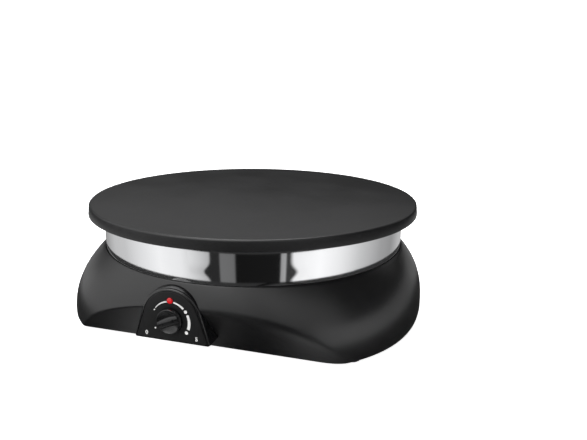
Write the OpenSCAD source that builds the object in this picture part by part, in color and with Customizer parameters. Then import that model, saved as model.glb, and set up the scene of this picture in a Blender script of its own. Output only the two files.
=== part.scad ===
// Electric crepe maker: a cast griddle plate on a steel ring and a moulded casing.
// Millimetres, +Z up, origin on the plate's axis at table level, control panel facing -Y.

/* [Plate] */
// Radius of the plate at its top edge
plate_r = 165; // [150:1:180]
// Thickness of the plate's disc
disc_t = 6; // [5:0.5:8]
// Height of the plate's rim
rim_h = 10; // [9:0.5:15]
// Thickness of the rim wall
rim_w = 8; // [5:0.5:10]
// Draft that the rim gains towards its lower edge
rim_draft = 1; // [0.4:0.1:2]
// Rounding of the plate's top edge
plate_edge = 2; // [1:0.5:3]

/* [Steel ring and shield] */
// Gap between the rim wall and the ring
ring_inset = 5.5; // [4:0.5:8]
// Sheet thickness of the ring
ring_t = 0.8; // [0.5:0.1:1.2]
// Height of the ring that shows between casing and rim
ring_show = 33.3; // [25:0.1:45]
// Depth of the ring below the casing's lip
ring_tuck = 6.5; // [5:0.5:9]
// Width of the seam where the ring's ends meet
seam_w = 0.5; // [0.3:0.1:1]
// Angle of the seam, from the front towards +X
seam_az = -50; // [-80:1:80]
// Thickness of the gasket on the ring
gasket_t = 1; // [0.6:0.1:1.5]
// Sheet thickness of the heat shield
shield_t = 1.2; // [0.8:0.1:2]
// Height of the shield's upturned edge
shield_edge_h = 6; // [4:0.5:10]

/* [Casing] */
// Height of the casing from its lower edge to its lip
casing_h = 63; // [60:0.5:75]
// Gap between the table and the casing
foot_gap = 3; // [2:0.5:6]
// Wall of the casing
wall = 3; // [2.5:0.1:4]
// Width of the lip
lip_w = 0.6; // [0.4:0.1:1.2]
// Flare of the front, from the lip to the foot
front_flare = 16; // [14:0.5:22]
// Flare of the sides
side_flare = 22.6; // [18:0.2:30]
// Flare of the back
rear_flare = 8.8; // [7:0.2:14]
// Squareness of the front corners, 2 is an ellipse
corner_n = 2.44; // [2.2:0.02:2.8]
// Fullness of the front's shoulder, 1 is a straight slope
front_shoulder = 1.9; // [1.6:0.1:2.6]
// Fullness of the back's shoulder
rear_shoulder = 3.4; // [2.6:0.1:4]
// Set-back of the flat front's foot from the full front
facet_cut = 32.4; // [28:0.2:34]
// Lean of the flat front, outwards going up
facet_lean = 29.7; // [26:0.1:31]
// Rounding of the casing's lower edge
casing_edge = 2.4; // [1:0.2:2.4]

/* [Control panel] */
// Place of the dial's centre, sideways from the plate's axis
dial_x = -16.2; // [-24:0.2:24]
// Drop from the casing's lip to the dial's centre
dial_drop = 30.3; // [29.8:0.1:32]
// Set-back of the panel's face from the full front
panel_set = 6.4; // [5:0.2:8]
// Radius of the arch of the panel's face
arch_r = 24.8; // [24:0.1:25.4]
// Width of the hood's rim round the arch
hood_rim = 2.7; // [2:0.1:3]
// Width of the hood's rim at the panel's foot
foot_rim = 1.8; // [1.6:0.1:2.4]
// Bevel of the hood's front edge
hood_bevel = 1.2; // [0.8:0.1:1.4]
// Drop from the dial's centre to the panel's flat foot
panel_drop = 19.1; // [17:0.1:22]
// Half width of the panel's foot
panel_half = 34.6; // [32:0.2:36]
// Thickness of the panel's face
face_t = 3; // [2.4:0.1:4]
// Wall of the hood
hood_t = 2.5; // [2:0.1:3]
// Depth of the hood, behind and including the face
hood_depth = 24; // [22:0.5:26]
// Radius of the printed heat scale
scale_r = 16.6; // [16:0.1:17.2]
// Height of the lamp above the knob's axis
lamp_rise = 17; // [16.6:0.1:17.4]
// Drop of the scale's centre below the knob's axis
scale_drop = 0.6; // [0:0.1:1]
// Thickness of the print
print_t = 0.1; // [0.06:0.02:0.2]
// Height of the printed figures
figure_h = 3.4; // [2:0.1:3.6]

/* [Knob and thermostat] */
// Radius of the knob next to the panel
knob_r = 11.2; // [10:0.1:12]
// Radius of the knob's rim
knob_rim_r = 10.4; // [9.6:0.1:11.2]
// Height of the knob's rim
skirt_h = 4.6; // [4:0.2:6]
// Height of the grip above the rim
grip_h = 0.6; // [0.2:0.1:3]
// Thickness of the grip
grip_w = 5; // [4:0.2:7]
// Depth of the hollows beside the grip
dish_h = 3; // [2:0.1:3.4]
// Length of the hub behind the knob
hub_len = 4; // [3.6:0.1:6]
// Gap between the knob and the panel
knob_gap = 0.5; // [0.3:0.1:1.2]
// Radius of the spindle
spindle_r = 3; // [2.6:0.1:3.4]
// Thickness of the knob over the spindle's end
roof_t = 1; // [0.8:0.1:1.6]
// Width of the thermostat's body
stat_w = 34; // [30:1:40]
// Height of the thermostat's body
stat_h = 26; // [22:1:28]
// Side of the square plunger
plunger_w = 7; // [6:0.1:8]
// Length of the plunger
plunger_len = 8; // [7:0.1:8.6]
// Travel of the plunger over the knob's full turn
plunger_travel = 1.5; // [0.8:0.1:1.8]
// Sheet thickness of the bracket
bracket_t = 1.5; // [1:0.1:2]

/* [Heater] */
// Radius of the heating loop
loop_r = 95; // [90:1:98]
// Radius of the heating tube
tube_r = 4; // [3.2:0.1:4.5]
// Arc of the heating loop
loop_arc = 320; // [310:1:326]
// Radius of the circle of studs
stud_circle = 120; // [118:1:126]
// Radius of a stud
stud_r = 2.5; // [2:0.1:3]
// Radius of the temperature bulb
bulb_r = 3; // [2.5:0.1:3.5]
// Length of the temperature bulb
bulb_len = 70; // [50:1:80]

/* [Base and fasteners] */
// Thickness of the bottom cover
cover_t = 3; // [2.5:0.1:4]
// Recess of the cover above the casing's lower edge
cover_recess = 1; // [0.6:0.1:2]
// Radius of a foot
foot_r = 8; // [6:0.5:10]
// Radius of the circle of posts that carry the shield
post_circle = 124; // [120:1:128]
// Radius of a post
post_r = 7; // [6:0.5:8]
// Radius of a screw's shank
screw_r = 2; // [1.6:0.1:2.2]
// Radius of the cord's hole in the gland
cord_hole_r = 3.6; // [3:0.1:4.5]
// Reach of the gland behind its pad
gland_reach = 5.5; // [4:0.1:20]
// Height of the gland above the cover
gland_h = 17; // [15:0.5:24]

/* [Hidden] */

$fn = 64;
eps = 0.01;

// Clearances
fit = 0.3;           // between neighbours that are assembled loosely
slide_fit = 0.1;     // round the plunger, each side
run_fit = 0.05;      // round the spindle in its bush
thread_fit = 0.05;   // round a screw in its hole
ring_clear = 1.5;    // kept free round the ring and under the shield

// Heights
base_z = foot_gap;
lip_z = base_z + casing_h;
rim_z = lip_z + ring_show;
plate_z = rim_z + rim_h;
disc_z = plate_z - disc_t;
ring_top = disc_z - gasket_t;
ring_z = lip_z - ring_tuck;
shield_z = ring_z - shield_t;
cover_z = base_z + cover_recess;
floor_z = cover_z + cover_t;
dial_h = casing_h - dial_drop;
dial_z = base_z + dial_h;

// Radii and depths
ring_r = plate_r - rim_w - ring_inset;
lip_in = ring_r + fit;
lip_r = lip_in + lip_w;
front_r = lip_r + front_flare;
side_r = lip_r + side_flare;
rear_r = lip_r + rear_flare;
steep_foot = 4;       // of the flare, which is full there
facet_y = front_r - facet_cut;
panel_y = front_r - panel_set;
hood_y = panel_y - hood_depth;
shield_edge_r = ring_r - ring_t - fit;
gasket_out = 1.5;     // of the gasket beyond the ring
gasket_in = 3;

// Fasteners
head_r = 1.9 * screw_r;
head_h = 1.1 * screw_r;
small_r = 1.5;        // shank of the small screws
small_head_r = 2.9;
small_head_h = 1.8;
boss_wall = 3;
nut_af = 3.3 * stud_r;
nut_h = 4;

// Heater places, angles measured from the front towards +X
stud_az = [45, 135, 225, 315];
stud_boss_h = 6;
stud_boss_r = stud_r + 4.5;
stud_grip = 9;        // depth of a stud's hole in its boss
stud_end = 3;         // of a stud below its nut
end_gap = 0.5;        // between a screw's or stud's end and the bottom of its hole
spacer_r = stud_r + 2.5;
strap_az = [30, 110, 250, 330];
strap_t = 1.5;
strap_w = 10;
pad_r = 4.5;
pad_thread = 5.5;     // of a strap's screw in the plate
pad_reach = tube_r + pad_r + 2.5;
element_z = disc_z - tube_r;
leg_az = 180 - loop_arc / 2;
bend_r = 10;          // bend of the tube into its legs
leg_z = shield_z - 8;
leg_hole = tube_r + 2;
tab_w = 6.3;
tab_t = 0.8;
tab_len = 8;
bulb_x = -40;
bulb_z = disc_z - bulb_r;
bulb_reach = bulb_r + pad_r + 1.5;
capillary_r = 1;
capillary_hole = [bulb_x, -62];
capillary_hole_r = 4;

// Panel
hood_r = arch_r + hood_rim;
face_half = panel_half - foot_rim;
groove_w = 0.6;       // between the face and the hood's rim
groove_d = 0.5;
arch_steps = 24;
lamp_r = 2.5;
lamp_glass_r = 2;
lamp_skirt_r = 3;
lamp_flange_r = 3.6;
lamp_holder_r = 4.2;
lamp_out = 0.8;
lamp_back = 16;
lamp_flange_t = 1;
lamp_skirt_len = 5;
lamp_glass_len = 9;
lamp_glass_gap = 0.1;
collar_t = 0.9;
collar_len = 7;
panel_boss_r = 4;
small_thread = 7.5;   // of a small screw in plastic
housing_post_x = 44;
housing_post_r = 5;
grip_inset = 0.4;     // of the grip's ends from the rim's edge
dish_wall = 0.6;      // of the rim round the hollows
core_wall = 1;        // of the knob round the spindle
core_drop = 0.4;      // of the core below the rim
spindle_in_knob = skirt_h - core_drop - roof_t - fit;
core_r = spindle_r + run_fit + core_wall;
hub_r = core_r + 0.4;
hub_play = 0.5;       // round the hub in the panel
off_angle = -120;     // clockwise from the top, seen from the front
full_angle = 123;
knob_angle = 66;      // where the grip's pointing end stands
turn_share = (knob_angle - off_angle) / (full_angle - off_angle);
scale_arcs = [[-54, -11, 1], [11, 45, 1.6], [66, 111, 2.4]];    // from, to, width
scale_dots = [[off_angle, 0.75], [-61, 0.6], [55.5, 1.45], [full_angle, 1.5]];
opening_reach = 20;   // of the casing's opening ahead of the hood
lead_pull = 60;       // of a long lead at its end, along its tab
lead_dip = 20;

// Thermostat
stat_y = -hood_y + bracket_t;
panel_boss = [stat_w / 2 + small_head_r + 1.1, -8];
bush_r = 5;
bush_flange_r = 6;
bush_flange_t = 3.5;
bush_len = 9;
bush_nut_af = 14;
bush_nut_t = 3;
collar_r = 4.5;
collar_h = 1.5;
collar_play = 0.2;
flange_room = 6.5;    // depth of the round pocket for the bush
plunger_play = 1;     // free at each end of the plunger's travel
stat_d = flange_room + plunger_len + plunger_travel + 2 * plunger_play;
channel_y = stat_y + flange_room;
plunger_front = channel_y + plunger_play;
plunger_y = plunger_front + plunger_travel * turn_share;
nose_r = 2;
nose_bore = 6.5;
nose_gap = 0.5;
nose_play = 0.1;
cap_t = 2;
cap_y = stat_y + stat_d;
cap_back = cap_y + cap_t;
stat_tab_x = 9;
spring_t = 0.4;
spring_w = 2.8;
spring_gap = 0.2;     // at the spring's open end
flat_at = spindle_r - 0.8;
bracket_half = housing_post_x + housing_post_r + 3;
bracket_h = 24;
bracket_drop = 2;

// Base
foot_az = [48, 132, 228, 312];
foot_stem_r = 3;
foot_head_r = 4;
foot_head_h = 2;
foot_margin = 1;      // from a foot to the cover's edge
boss_az = [65, 105, 160, 200, 255, 295];
boss_inset = 10;
boss_r = screw_r + boss_wall;
boss_h = 23;
boss_thread = 12;     // of a cover's screw in its boss
boss_bore = 14;
web_t = 2.5;
web_h = 13;
post_az = [60, 120, 240, 300];
post_seat = 14;       // from the top of a post down to the screw's head
head_clear = 0.5;     // round a sunk screw's head
clinch_r = screw_r + 2.2;
clinch_h = 4;
vent_count = 9;
vent_w = 3;
vent_len = 30;
vent_pitch = 9;

// Terminal block, fuse and gland
block_w = 36;
block_d = 18;
block_h = 16;
block_stand = 5;
block_post_r = 4;
block_way = 10;
block_screw_x = block_w / 2 - small_head_r - slide_fit;
block_z = floor_z + block_stand;
way_z = block_z + block_h / 2;
way_r = 1.6;
wire_r = 1.3;
lamp_wire_r = 0.7;
fuse_x = -60;
fuse_y = 20;
fuse_r = 2;
fuse_len = 24;
clip_wall = 1.2;
fuse_z = shield_z - clip_wall - fuse_r;
clip_w = 9;
clip_len = 8;
earth_at = [30, 50];
earth_r = 2;
earth_len = 9;
earth_nut_af = 7;
earth_nut_h = 3.2;
tag_r = 5;
tag_t = 1;
gland_z = floor_z + gland_h;
gland_r = 6;
gland_flange_r = 10;
gland_flange_t = 3;
gland_sleeve_r = 7.5;
gland_pad_r = 13;
gland_pad_out = 1;
gland_pad_t = 8;
gland_nut_af = 18;
gland_nut_t = 4;
gland_inside = 3;
gland_y = rear_r + gland_pad_out;
gland_end = gland_y - gland_pad_t - gland_nut_t - gland_inside;
cord_room = 17.2;     // between the gland and the terminal block
block_y = gland_end - cord_room - block_d;

// Mesh steps
az_step = 5;
skin_upper = 8;
skin_lower = 3;
lining_upper = 5;
lining_lower = 2;
least_crease = 8;

function polar(az, r) = [r * sin(az), -r * cos(az)];

// ---- casing surface: plan radius, profile and the flat front ----

function plan_r(az) =
    let (front = cos(az) > 0,
         n = front ? corner_n : 2,
         depth = front ? front_r : rear_r)
    pow(pow(abs(cos(az)) / depth, n) + pow(abs(sin(az)) / side_r, n), -1 / n);

function shoulder(az) = rear_shoulder + (front_shoulder - rear_shoulder) * (1 + cos(az)) / 2;

// Full radius at a height, before the flat front is cut
function flare_r(az, z) =
    let (t = min(1, (lip_z - z) / (lip_z - base_z - steep_foot)))
    lip_r + (plan_r(az) - lip_r) * (1 - pow(1 - t, shoulder(az)));

// Depth of the flat front at a height
function facet_at(z) = facet_y + (z - base_z) * tan(facet_lean);

function edge_inset(z) =
    let (d = max(0, casing_edge - (z - base_z)))
    casing_edge - sqrt(casing_edge * casing_edge - d * d);

function to_front(az, depth) = cos(az) > 0.1 ? depth / cos(az) : 10 * plate_r;

function outer_r(az, z) = min(flare_r(az, z), to_front(az, facet_at(z))) - edge_inset(z);

function inner_r(az, z) =
    min(max(lip_in, flare_r(az, z) - wall), to_front(az, facet_at(z) - wall / cos(facet_lean)));

// Height of the crease where the flare meets the flat front, found by halving
function crease_between(az, low, high, halvings) =
    let (mid = (low + high) / 2)
    halvings == 0 ? mid
    : flare_r(az, mid) > to_front(az, facet_at(mid)) ? crease_between(az, mid, high, halvings - 1)
    : crease_between(az, low, mid, halvings - 1);

function crease_z(az) = max(base_z + least_crease, crease_between(az, base_z, lip_z, 12));

// Heights down the casing at one azimuth, from the lip to the lower edge
function levels(az, upper, lower) =
    let (crease = crease_z(az), edge = base_z + casing_edge)
    concat([for (i = [0:upper]) lip_z - (lip_z - crease) * pow(i / upper, 1.4)],
           [for (i = [1:lower]) crease - (crease - edge) * i / lower]);

function skin_column(az) = [for (z = concat(levels(az, skin_upper, skin_lower),
    [base_z + 0.3 * casing_edge, base_z])) concat(polar(az, outer_r(az, z)), z)];

function lining_column(az) =
    let (down = concat(levels(az, lining_upper, lining_lower), base_z))
    [for (i = [len(down) - 1:-1:0]) concat(polar(az, inner_r(az, down[i])), down[i])];

// Closed band of rings: the last ring joins the first
module band(rings) {
    n = len(rings[0]);
    m = len(rings);
    points = [for (ring = rings) for (p = ring) p];
    faces = [for (j = [0:m - 1]) for (i = [0:n - 1])
        let (a = j * n + i, b = j * n + (i + 1) % n,
             c = ((j + 1) % m) * n + i, d = ((j + 1) % m) * n + (i + 1) % n)
        each [[a, b, c], [b, d, c]]];
    polyhedron(points = points, faces = faces);
}

module casing_shell() {
    columns = [for (az = [0:az_step:360 - az_step]) concat(skin_column(az), lining_column(az))];
    band([for (j = [0:len(columns[0]) - 1]) [for (column = columns) column[j]]]);
}

// ---- swept wires ----

function unit(v) = v / norm(v);

// Points of a smooth curve from a to b, leaving along from_dir and arriving along to_dir
function curve(a, from_dir, b, to_dir, steps) =
    [for (i = [0:steps])
        let (t = i / steps, s = 1 - t)
        s * s * s * a + 3 * s * s * t * (a + from_dir) + 3 * s * t * t * (b - to_dir) + t * t * t * b];

function tangent(path, i) = unit(path[min(i + 1, len(path) - 1)] - path[max(i - 1, 0)]);

// Closed solid through loops that all have as many points
module loft(loops) {
    n = len(loops[0]);
    last = len(loops) - 1;
    skin = [for (j = [0:last - 1]) for (i = [0:n - 1])
        let (a = j * n + i, b = j * n + (i + 1) % n)
        each [[a, a + n, b], [b, a + n, b + n]]];
    start = [for (i = [0:n - 1]) i];
    finish = [for (i = [n - 1:-1:0]) last * n + i];
    polyhedron(points = [for (loop = loops) each loop], faces = concat(skin, [start, finish]));
}

module sweep(path, r, sides = 8) {
    loft([for (i = [0:len(path) - 1])
        let (t = tangent(path, i), u = unit(cross(t, [1, 0, 0])), v = cross(t, u))
        [for (k = [0:sides - 1]) path[i] + r * (cos(360 * k / sides) * u + sin(360 * k / sides) * v)]]);
}

// ---- shared shapes ----

module at_az(az, r, z = 0) {
    translate(concat(polar(az, r), z)) rotate(az) children();
}

module rod(r, z0, z1) {
    translate([0, 0, z0]) cylinder(r = r, h = z1 - z0);
}

// Rod along Y, from y0 to y1
module rod_y(r, y0, y1) {
    translate([0, y0, 0]) rotate([-90, 0, 0]) cylinder(r = r, h = y1 - y0);
}

module hex(af, z0, z1) {
    translate([0, 0, z0]) cylinder(r = af / 2 / cos(30), h = z1 - z0, $fn = 6);
}

module at_dial() {
    translate([dial_x, 0, dial_z]) children();
}

// Flat shape on the panel, spread from y forwards by depth
module forwards(y, depth) {
    at_dial() translate([0, y, 0]) rotate([90, 0, 0]) linear_extrude(depth) children();
}

// Screw with its head below z and its shank going up
module screw_up(r, head_r, head_h, z, length) {
    rod(head_r, z - head_h, z);
    rod(r, z, z + length);
}

// ---- plate and heater ----

module plate_profile() {
    rim_in = plate_r - rim_w;
    top_arc = [for (a = [90:-15:0]) [plate_r - plate_edge + plate_edge * cos(a),
                                     plate_z - plate_edge + plate_edge * sin(a)]];
    polygon(concat([[0, plate_z]], top_arc,
        [[plate_r + rim_draft, rim_z], [rim_in, rim_z], [rim_in, disc_z], [0, disc_z]]));
}

module strap_places() {
    for (az = strap_az) at_az(az, loop_r) children();
}

// The two screw places of each strap, and those of the bulb's clip
module strap_screw_places() {
    strap_places() for (s = [-1, 1]) translate([0, s * pad_reach, element_z - tube_r]) children();
    for (s = [-1, 1]) translate([bulb_x + s * bulb_reach, 0, bulb_z - bulb_r]) children();
}

// The two ends of the heating loop, where its legs go down
module leg_places() {
    for (s = [-1, 1]) at_az(180 + s * leg_az, loop_r) translate([-s * bend_r, 0, 0]) children();
}

module griddle_plate() {
    color("#2b2b2b") difference() {
        union() {
            rotate_extrude($fn = 180) plate_profile();
            for (az = stud_az) at_az(az, stud_circle) rod(stud_boss_r, disc_z - stud_boss_h, disc_z + eps);
            strap_places() for (s = [-1, 1]) translate([0, s * pad_reach, 0])
                rod(pad_r, element_z - tube_r, disc_z + eps);
            for (s = [-1, 1]) translate([bulb_x + s * bulb_reach, 0, 0])
                rod(pad_r, bulb_z - bulb_r, disc_z + eps);
        }
        for (az = stud_az) at_az(az, stud_circle)
            rod(stud_r + thread_fit, disc_z - stud_boss_h - 1, disc_z - stud_boss_h + stud_grip);
        strap_screw_places() rod(small_r + thread_fit, -1, pad_thread + end_gap);
    }
}

module plate_studs() {
    color("#9a9a98") for (az = stud_az) at_az(az, stud_circle)
        rod(stud_r, shield_z - nut_h - stud_end, disc_z - stud_boss_h + stud_grip - end_gap);
}

module spacer_tubes() {
    color("#8d8f92") for (az = stud_az) at_az(az, stud_circle) difference() {
        rod(spacer_r, ring_z, disc_z - stud_boss_h);
        rod(stud_r + fit, ring_z - 1, disc_z);
    }
}

module stud_nuts() {
    color("#b0b0ac") for (az = stud_az) at_az(az, stud_circle) difference() {
        hex(nut_af, shield_z - nut_h, shield_z);
        rod(stud_r + thread_fit, shield_z - nut_h - 1, shield_z + 1);
    }
}

module heating_element() {
    color("#5f5a55") {
        translate([0, 0, element_z]) rotate(-90 - loop_arc / 2)
            rotate_extrude(angle = loop_arc, $fn = 120) translate([loop_r, 0]) circle(tube_r);
        for (s = [-1, 1]) at_az(180 + s * leg_az, loop_r) rotate(s < 0 ? 0 : 180) {
            translate([eps, 0, element_z - bend_r]) rotate([90, 0, 0])
                rotate_extrude(angle = 90) translate([bend_r, 0]) circle(tube_r);
            translate([bend_r + eps, 0, 0]) rod(tube_r, leg_z, element_z - bend_r);
        }
    }
}

module element_tabs() {
    color("#c9b37a") leg_places()
        translate([-tab_w / 2, -tab_t / 2, leg_z - tab_len]) cube([tab_w, tab_t, tab_len]);
}

module strap_bar(reach, z) {
    difference() {
        translate([-strap_w / 2, -reach - pad_r, z - strap_t])
            cube([strap_w, 2 * (reach + pad_r), strap_t]);
        for (s = [-1, 1]) translate([0, s * reach, 0]) rod(small_r + thread_fit, z - strap_t - 1, z + 1);
    }
}

module element_straps() {
    color("#8d8f92") strap_places() strap_bar(pad_reach, element_z - tube_r);
}

module bulb_clip() {
    color("#8d8f92") translate([bulb_x, 0, 0]) rotate(90) strap_bar(bulb_reach, bulb_z - bulb_r);
}

module strap_screws() {
    color("#b0b0ac") strap_screw_places() {
        rod(small_head_r, -strap_t - small_head_h, -strap_t);
        rod(small_r, -strap_t, pad_thread);
    }
}

module sensor_bulb() {
    color("#b98b5a") translate([bulb_x, 0, bulb_z]) rod_y(bulb_r, -bulb_len / 2, bulb_len / 2);
}

module capillary_tube() {
    start = [dial_x - 5, cap_back, dial_z + 8];
    bend = concat(capillary_hole, shield_z);
    finish = [bulb_x, -bulb_len / 2, bulb_z];
    path = concat(
        curve(start, [0, 30, 0], bend, [0, 0, 14], 12),
        [for (p = curve(bend, [0, 0, 22], finish, [0, 24, 0], 12)) if (p != bend) p]);
    color("#b98b5a") sweep(path, capillary_r);
}

// ---- ring and shield ----

module ring_gasket() {
    color("#3a3836") difference() {
        rod(ring_r + gasket_out, ring_top, disc_z, $fn = 180);
        rod(ring_r - gasket_in, ring_top - 1, disc_z + 1, $fn = 180);
    }
}

module steel_ring() {
    color("#d4d5d6") difference() {
        rod(ring_r, ring_z, ring_top, $fn = 180);
        rod(ring_r - ring_t, ring_z - 1, ring_top + 1, $fn = 180);
        at_az(seam_az, ring_r) translate([-seam_w / 2, -2, ring_z - 1])
            cube([seam_w, 4, ring_top - ring_z + 2]);
    }
}

module heat_shield() {
    color("#a9abad") difference() {
        union() {
            rod(ring_r, shield_z, ring_z, $fn = 180);
            difference() {
                rod(shield_edge_r, ring_z - eps, ring_z + shield_edge_h, $fn = 180);
                rod(shield_edge_r - shield_t, ring_z - 1, ring_z + shield_edge_h + 1, $fn = 180);
            }
            translate(earth_at) rod(earth_r, shield_z - earth_len, shield_z + eps);
        }
        for (az = stud_az) at_az(az, stud_circle) rod(stud_r + fit, shield_z - 1, ring_z + 1);
        for (az = post_az) at_az(az, post_circle) rod(screw_r + fit, shield_z - 1, ring_z + 1);
        leg_places() rod(leg_hole, shield_z - 1, ring_z + 1);
        translate(capillary_hole) rod(capillary_hole_r, shield_z - 1, ring_z + 1);
    }
}

module clinch_nuts() {
    color("#b0b0ac") for (az = post_az) at_az(az, post_circle) difference() {
        rod(clinch_r, ring_z, ring_z + clinch_h);
        rod(screw_r + thread_fit, ring_z - 1, ring_z + clinch_h + 1);
    }
}

module earth_nut() {
    color("#c9b37a") translate(earth_at) difference() {
        hex(earth_nut_af, shield_z - tag_t - earth_nut_h, shield_z - tag_t);
        rod(earth_r + thread_fit, shield_z - earth_len, shield_z);
    }
}

// ---- casing ----

module boss_places() {
    for (az = boss_az) at_az(az, outer_r(az, floor_z) - boss_inset) children();
}

module housing_bosses() {
    boss_places() {
        rod(boss_r, floor_z, floor_z + boss_h);
        translate([-web_t / 2, -boss_inset + wall / 2, floor_z]) cube([web_t, boss_inset - wall / 2, web_h]);
    }
}

// Posts behind the flat front that carry the bracket
module bracket_posts(r, y) {
    at_dial() for (s = [-1, 1]) translate([s * housing_post_x, 0, 0])
        rod_y(r, y, -hood_y);
}

// Angle at which an arch about the dial runs into the straight side that ends at the foot's corner
function side_el(arch, half) = atan2(-panel_drop, half) + acos(arch / norm([half, panel_drop]));

// Half width of the foot, when the outline grows by grow and its foot lies below the panel's
function corner_x(arch, half, grow, below) =
    let (el = side_el(arch, half))
    (arch + grow + (panel_drop + below) * sin(el)) / cos(el);

// Arch over a flat foot
module panel_shape(arch, half, grow = 0, below = 0) {
    r = arch + grow;
    foot = panel_drop + below;
    el = side_el(arch, half);
    corner = corner_x(arch, half, grow, below);
    intersection() {
        circle(r, $fn = 96);
        translate([-2 * r, -foot]) square([4 * r, 4 * r]);
    }
    polygon([[-corner, -foot], [corner, -foot], [r * cos(el), r * sin(el)], [-r * cos(el), r * sin(el)]]);
}

// Points of the hood's outline at depth y, from the right foot over the arch to the left foot
function hood_loop(y, grow) =
    let (el = side_el(hood_r, panel_half), r = hood_r + grow,
         corner = corner_x(hood_r, panel_half, grow, grow), foot = -panel_drop - grow)
    concat([[corner, y, foot]],
           [for (i = [0:arch_steps])
               let (a = el + (180 - 2 * el) * i / arch_steps)
               [r * cos(a), y, r * sin(a)]],
           [[-corner, y, foot]]);

module housing() {
    color("#1d1d1e") difference() {
        union() {
            casing_shell();
            housing_bosses();
            bracket_posts(housing_post_r, -facet_at(dial_z - housing_post_r) + fit);
            translate([0, 0, gland_z]) rod_y(gland_pad_r, gland_y - gland_pad_t, gland_y);
        }
        boss_places() rod(screw_r + thread_fit, floor_z - 1, floor_z + boss_bore);
        bracket_posts(small_r + thread_fit, -hood_y - small_thread - end_gap);
        translate([0, 0, gland_z]) rod_y(gland_r + fit, gland_y - gland_pad_t - 1, gland_y + 1);
        forwards(-hood_y + 1, hood_depth + opening_reach) panel_shape(hood_r, panel_half, fit, fit);
    }
}

module cover_outline(z) {
    polygon([for (az = [0:az_step:360 - az_step]) polar(az, inner_r(az, z) - fit)]);
}

module foot_places() {
    for (az = foot_az) at_az(az, inner_r(az, cover_z) - fit - foot_r - foot_margin) children();
}

module post_places() {
    for (az = post_az) at_az(az, post_circle) children();
}

module block_screw_places() {
    for (s = [-1, 1]) translate([s * block_screw_x, block_y + block_d / 2, 0]) children();
}

module bottom_cover() {
    color("#232324") difference() {
        union() {
            translate([0, 0, cover_z]) linear_extrude(cover_t) cover_outline(cover_z);
            post_places() rod(post_r, floor_z - eps, shield_z);
            block_screw_places() rod(block_post_r, floor_z - eps, block_z);
        }
        boss_places() rod(screw_r + fit, cover_z - 1, floor_z + 1);
        foot_places() rod(foot_stem_r, cover_z - 1, floor_z + 1);
        post_places() {
            rod(screw_r + fit, cover_z - 1, shield_z + 1);
            rod(head_r + head_clear, cover_z - 1, shield_z - post_seat);
        }
        block_screw_places() rod(small_r + thread_fit, cover_z + 1, block_z + 1);
        for (i = [0:vent_count - 1])
            translate([(i - (vent_count - 1) / 2) * vent_pitch - vent_w / 2, -vent_len / 2, cover_z - 1])
                cube([vent_w, vent_len, cover_t + 2]);
    }
}

module cover_screws() {
    color("#8f9092") boss_places() screw_up(screw_r, head_r, head_h, cover_z, cover_t + boss_thread);
}

module shield_screws() {
    color("#8f9092") post_places()
        screw_up(screw_r, head_r, head_h, shield_z - post_seat, post_seat + shield_t + clinch_h);
}

module rubber_feet() {
    color("#4a4a48") foot_places() {
        rod(foot_r, 0, cover_z);
        rod(foot_stem_r, cover_z - eps, floor_z + eps);
        rod(foot_head_r, floor_z, floor_z + foot_head_h);
    }
}

// ---- control panel ----

module panel_hood() {
    difference() {
        at_dial() loft([hood_loop(-hood_y, 0), hood_loop(-panel_y + hood_bevel, 0),
                        hood_loop(-panel_y, -hood_bevel)]);
        forwards(-hood_y + 1, hood_depth - face_t + 1) panel_shape(hood_r, panel_half, -hood_t, -hood_t);
        forwards(-panel_y + groove_d, groove_d + 1) difference() {
            panel_shape(arch_r, face_half, 0, 1);
            panel_shape(arch_r, face_half, -groove_w, 2);
        }
    }
}

module control_panel() {
    color("#202021") difference() {
        union() {
            panel_hood();
            at_dial() for (s = [-1, 1]) translate([s * panel_boss[0], 0, panel_boss[1]])
                rod_y(panel_boss_r, -panel_y + face_t - eps, -hood_y);
            at_dial() translate([0, 0, lamp_rise]) rod_y(lamp_holder_r + run_fit + collar_t,
                -panel_y + face_t - eps, -panel_y + face_t + collar_len);
        }
        rod(ring_r + ring_clear, shield_z - ring_clear, lip_z + 1, $fn = 180);
        at_dial() {
            rod_y(hub_r + hub_play, -panel_y - 1, -panel_y + face_t + 1);
            for (s = [-1, 1]) translate([s * panel_boss[0], 0, panel_boss[1]])
                rod_y(small_r + thread_fit, -hood_y - small_thread - end_gap, -hood_y + 1);
            translate([0, 0, lamp_rise]) {
                rod_y(lamp_r + run_fit, -panel_y - 1, -panel_y + face_t + 1);
                rod_y(lamp_holder_r + run_fit, -panel_y + face_t, -panel_y + face_t + collar_len + 1);
            }
        }
    }
}

// Printed arc, angles clockwise from the top
module scale_arc(from, to, width) {
    reach = 2 * scale_r;
    intersection() {
        difference() {
            circle(scale_r + width / 2);
            circle(scale_r - width / 2);
        }
        polygon(concat([[0, 0]], [for (i = [0:4]) let (a = from + (to - from) * i / 4)
            [reach * sin(a), reach * cos(a)]]));
    }
}

module scale_dot(angle, r) {
    translate([scale_r * sin(angle), scale_r * cos(angle)]) circle(r, $fn = 32);
}

module dial_scale() {
    color("#b9b9b9") forwards(-panel_y, print_t) translate([0, -scale_drop]) {
        for (arc = scale_arcs) scale_arc(arc[0], arc[1], arc[2]);
        for (dot = scale_dots) scale_dot(dot[0], dot[1]);
    }
}

module figure_zero(h) {
    bar = h / 6;
    scale_w = h * 0.6;
    difference() {
        square([scale_w, h], center = true);
        square([scale_w - 2 * bar, h - 2 * bar], center = true);
    }
}

module figure_five(h) {
    bar = h / 6;
    w = h * 0.6;
    for (y = [-h / 2, -bar / 2, h / 2 - bar]) translate([-w / 2, y]) square([w, bar]);
    translate([-w / 2, 0]) square([bar, h / 2]);
    translate([w / 2 - bar, -h / 2]) square([bar, h / 2]);
}

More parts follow.
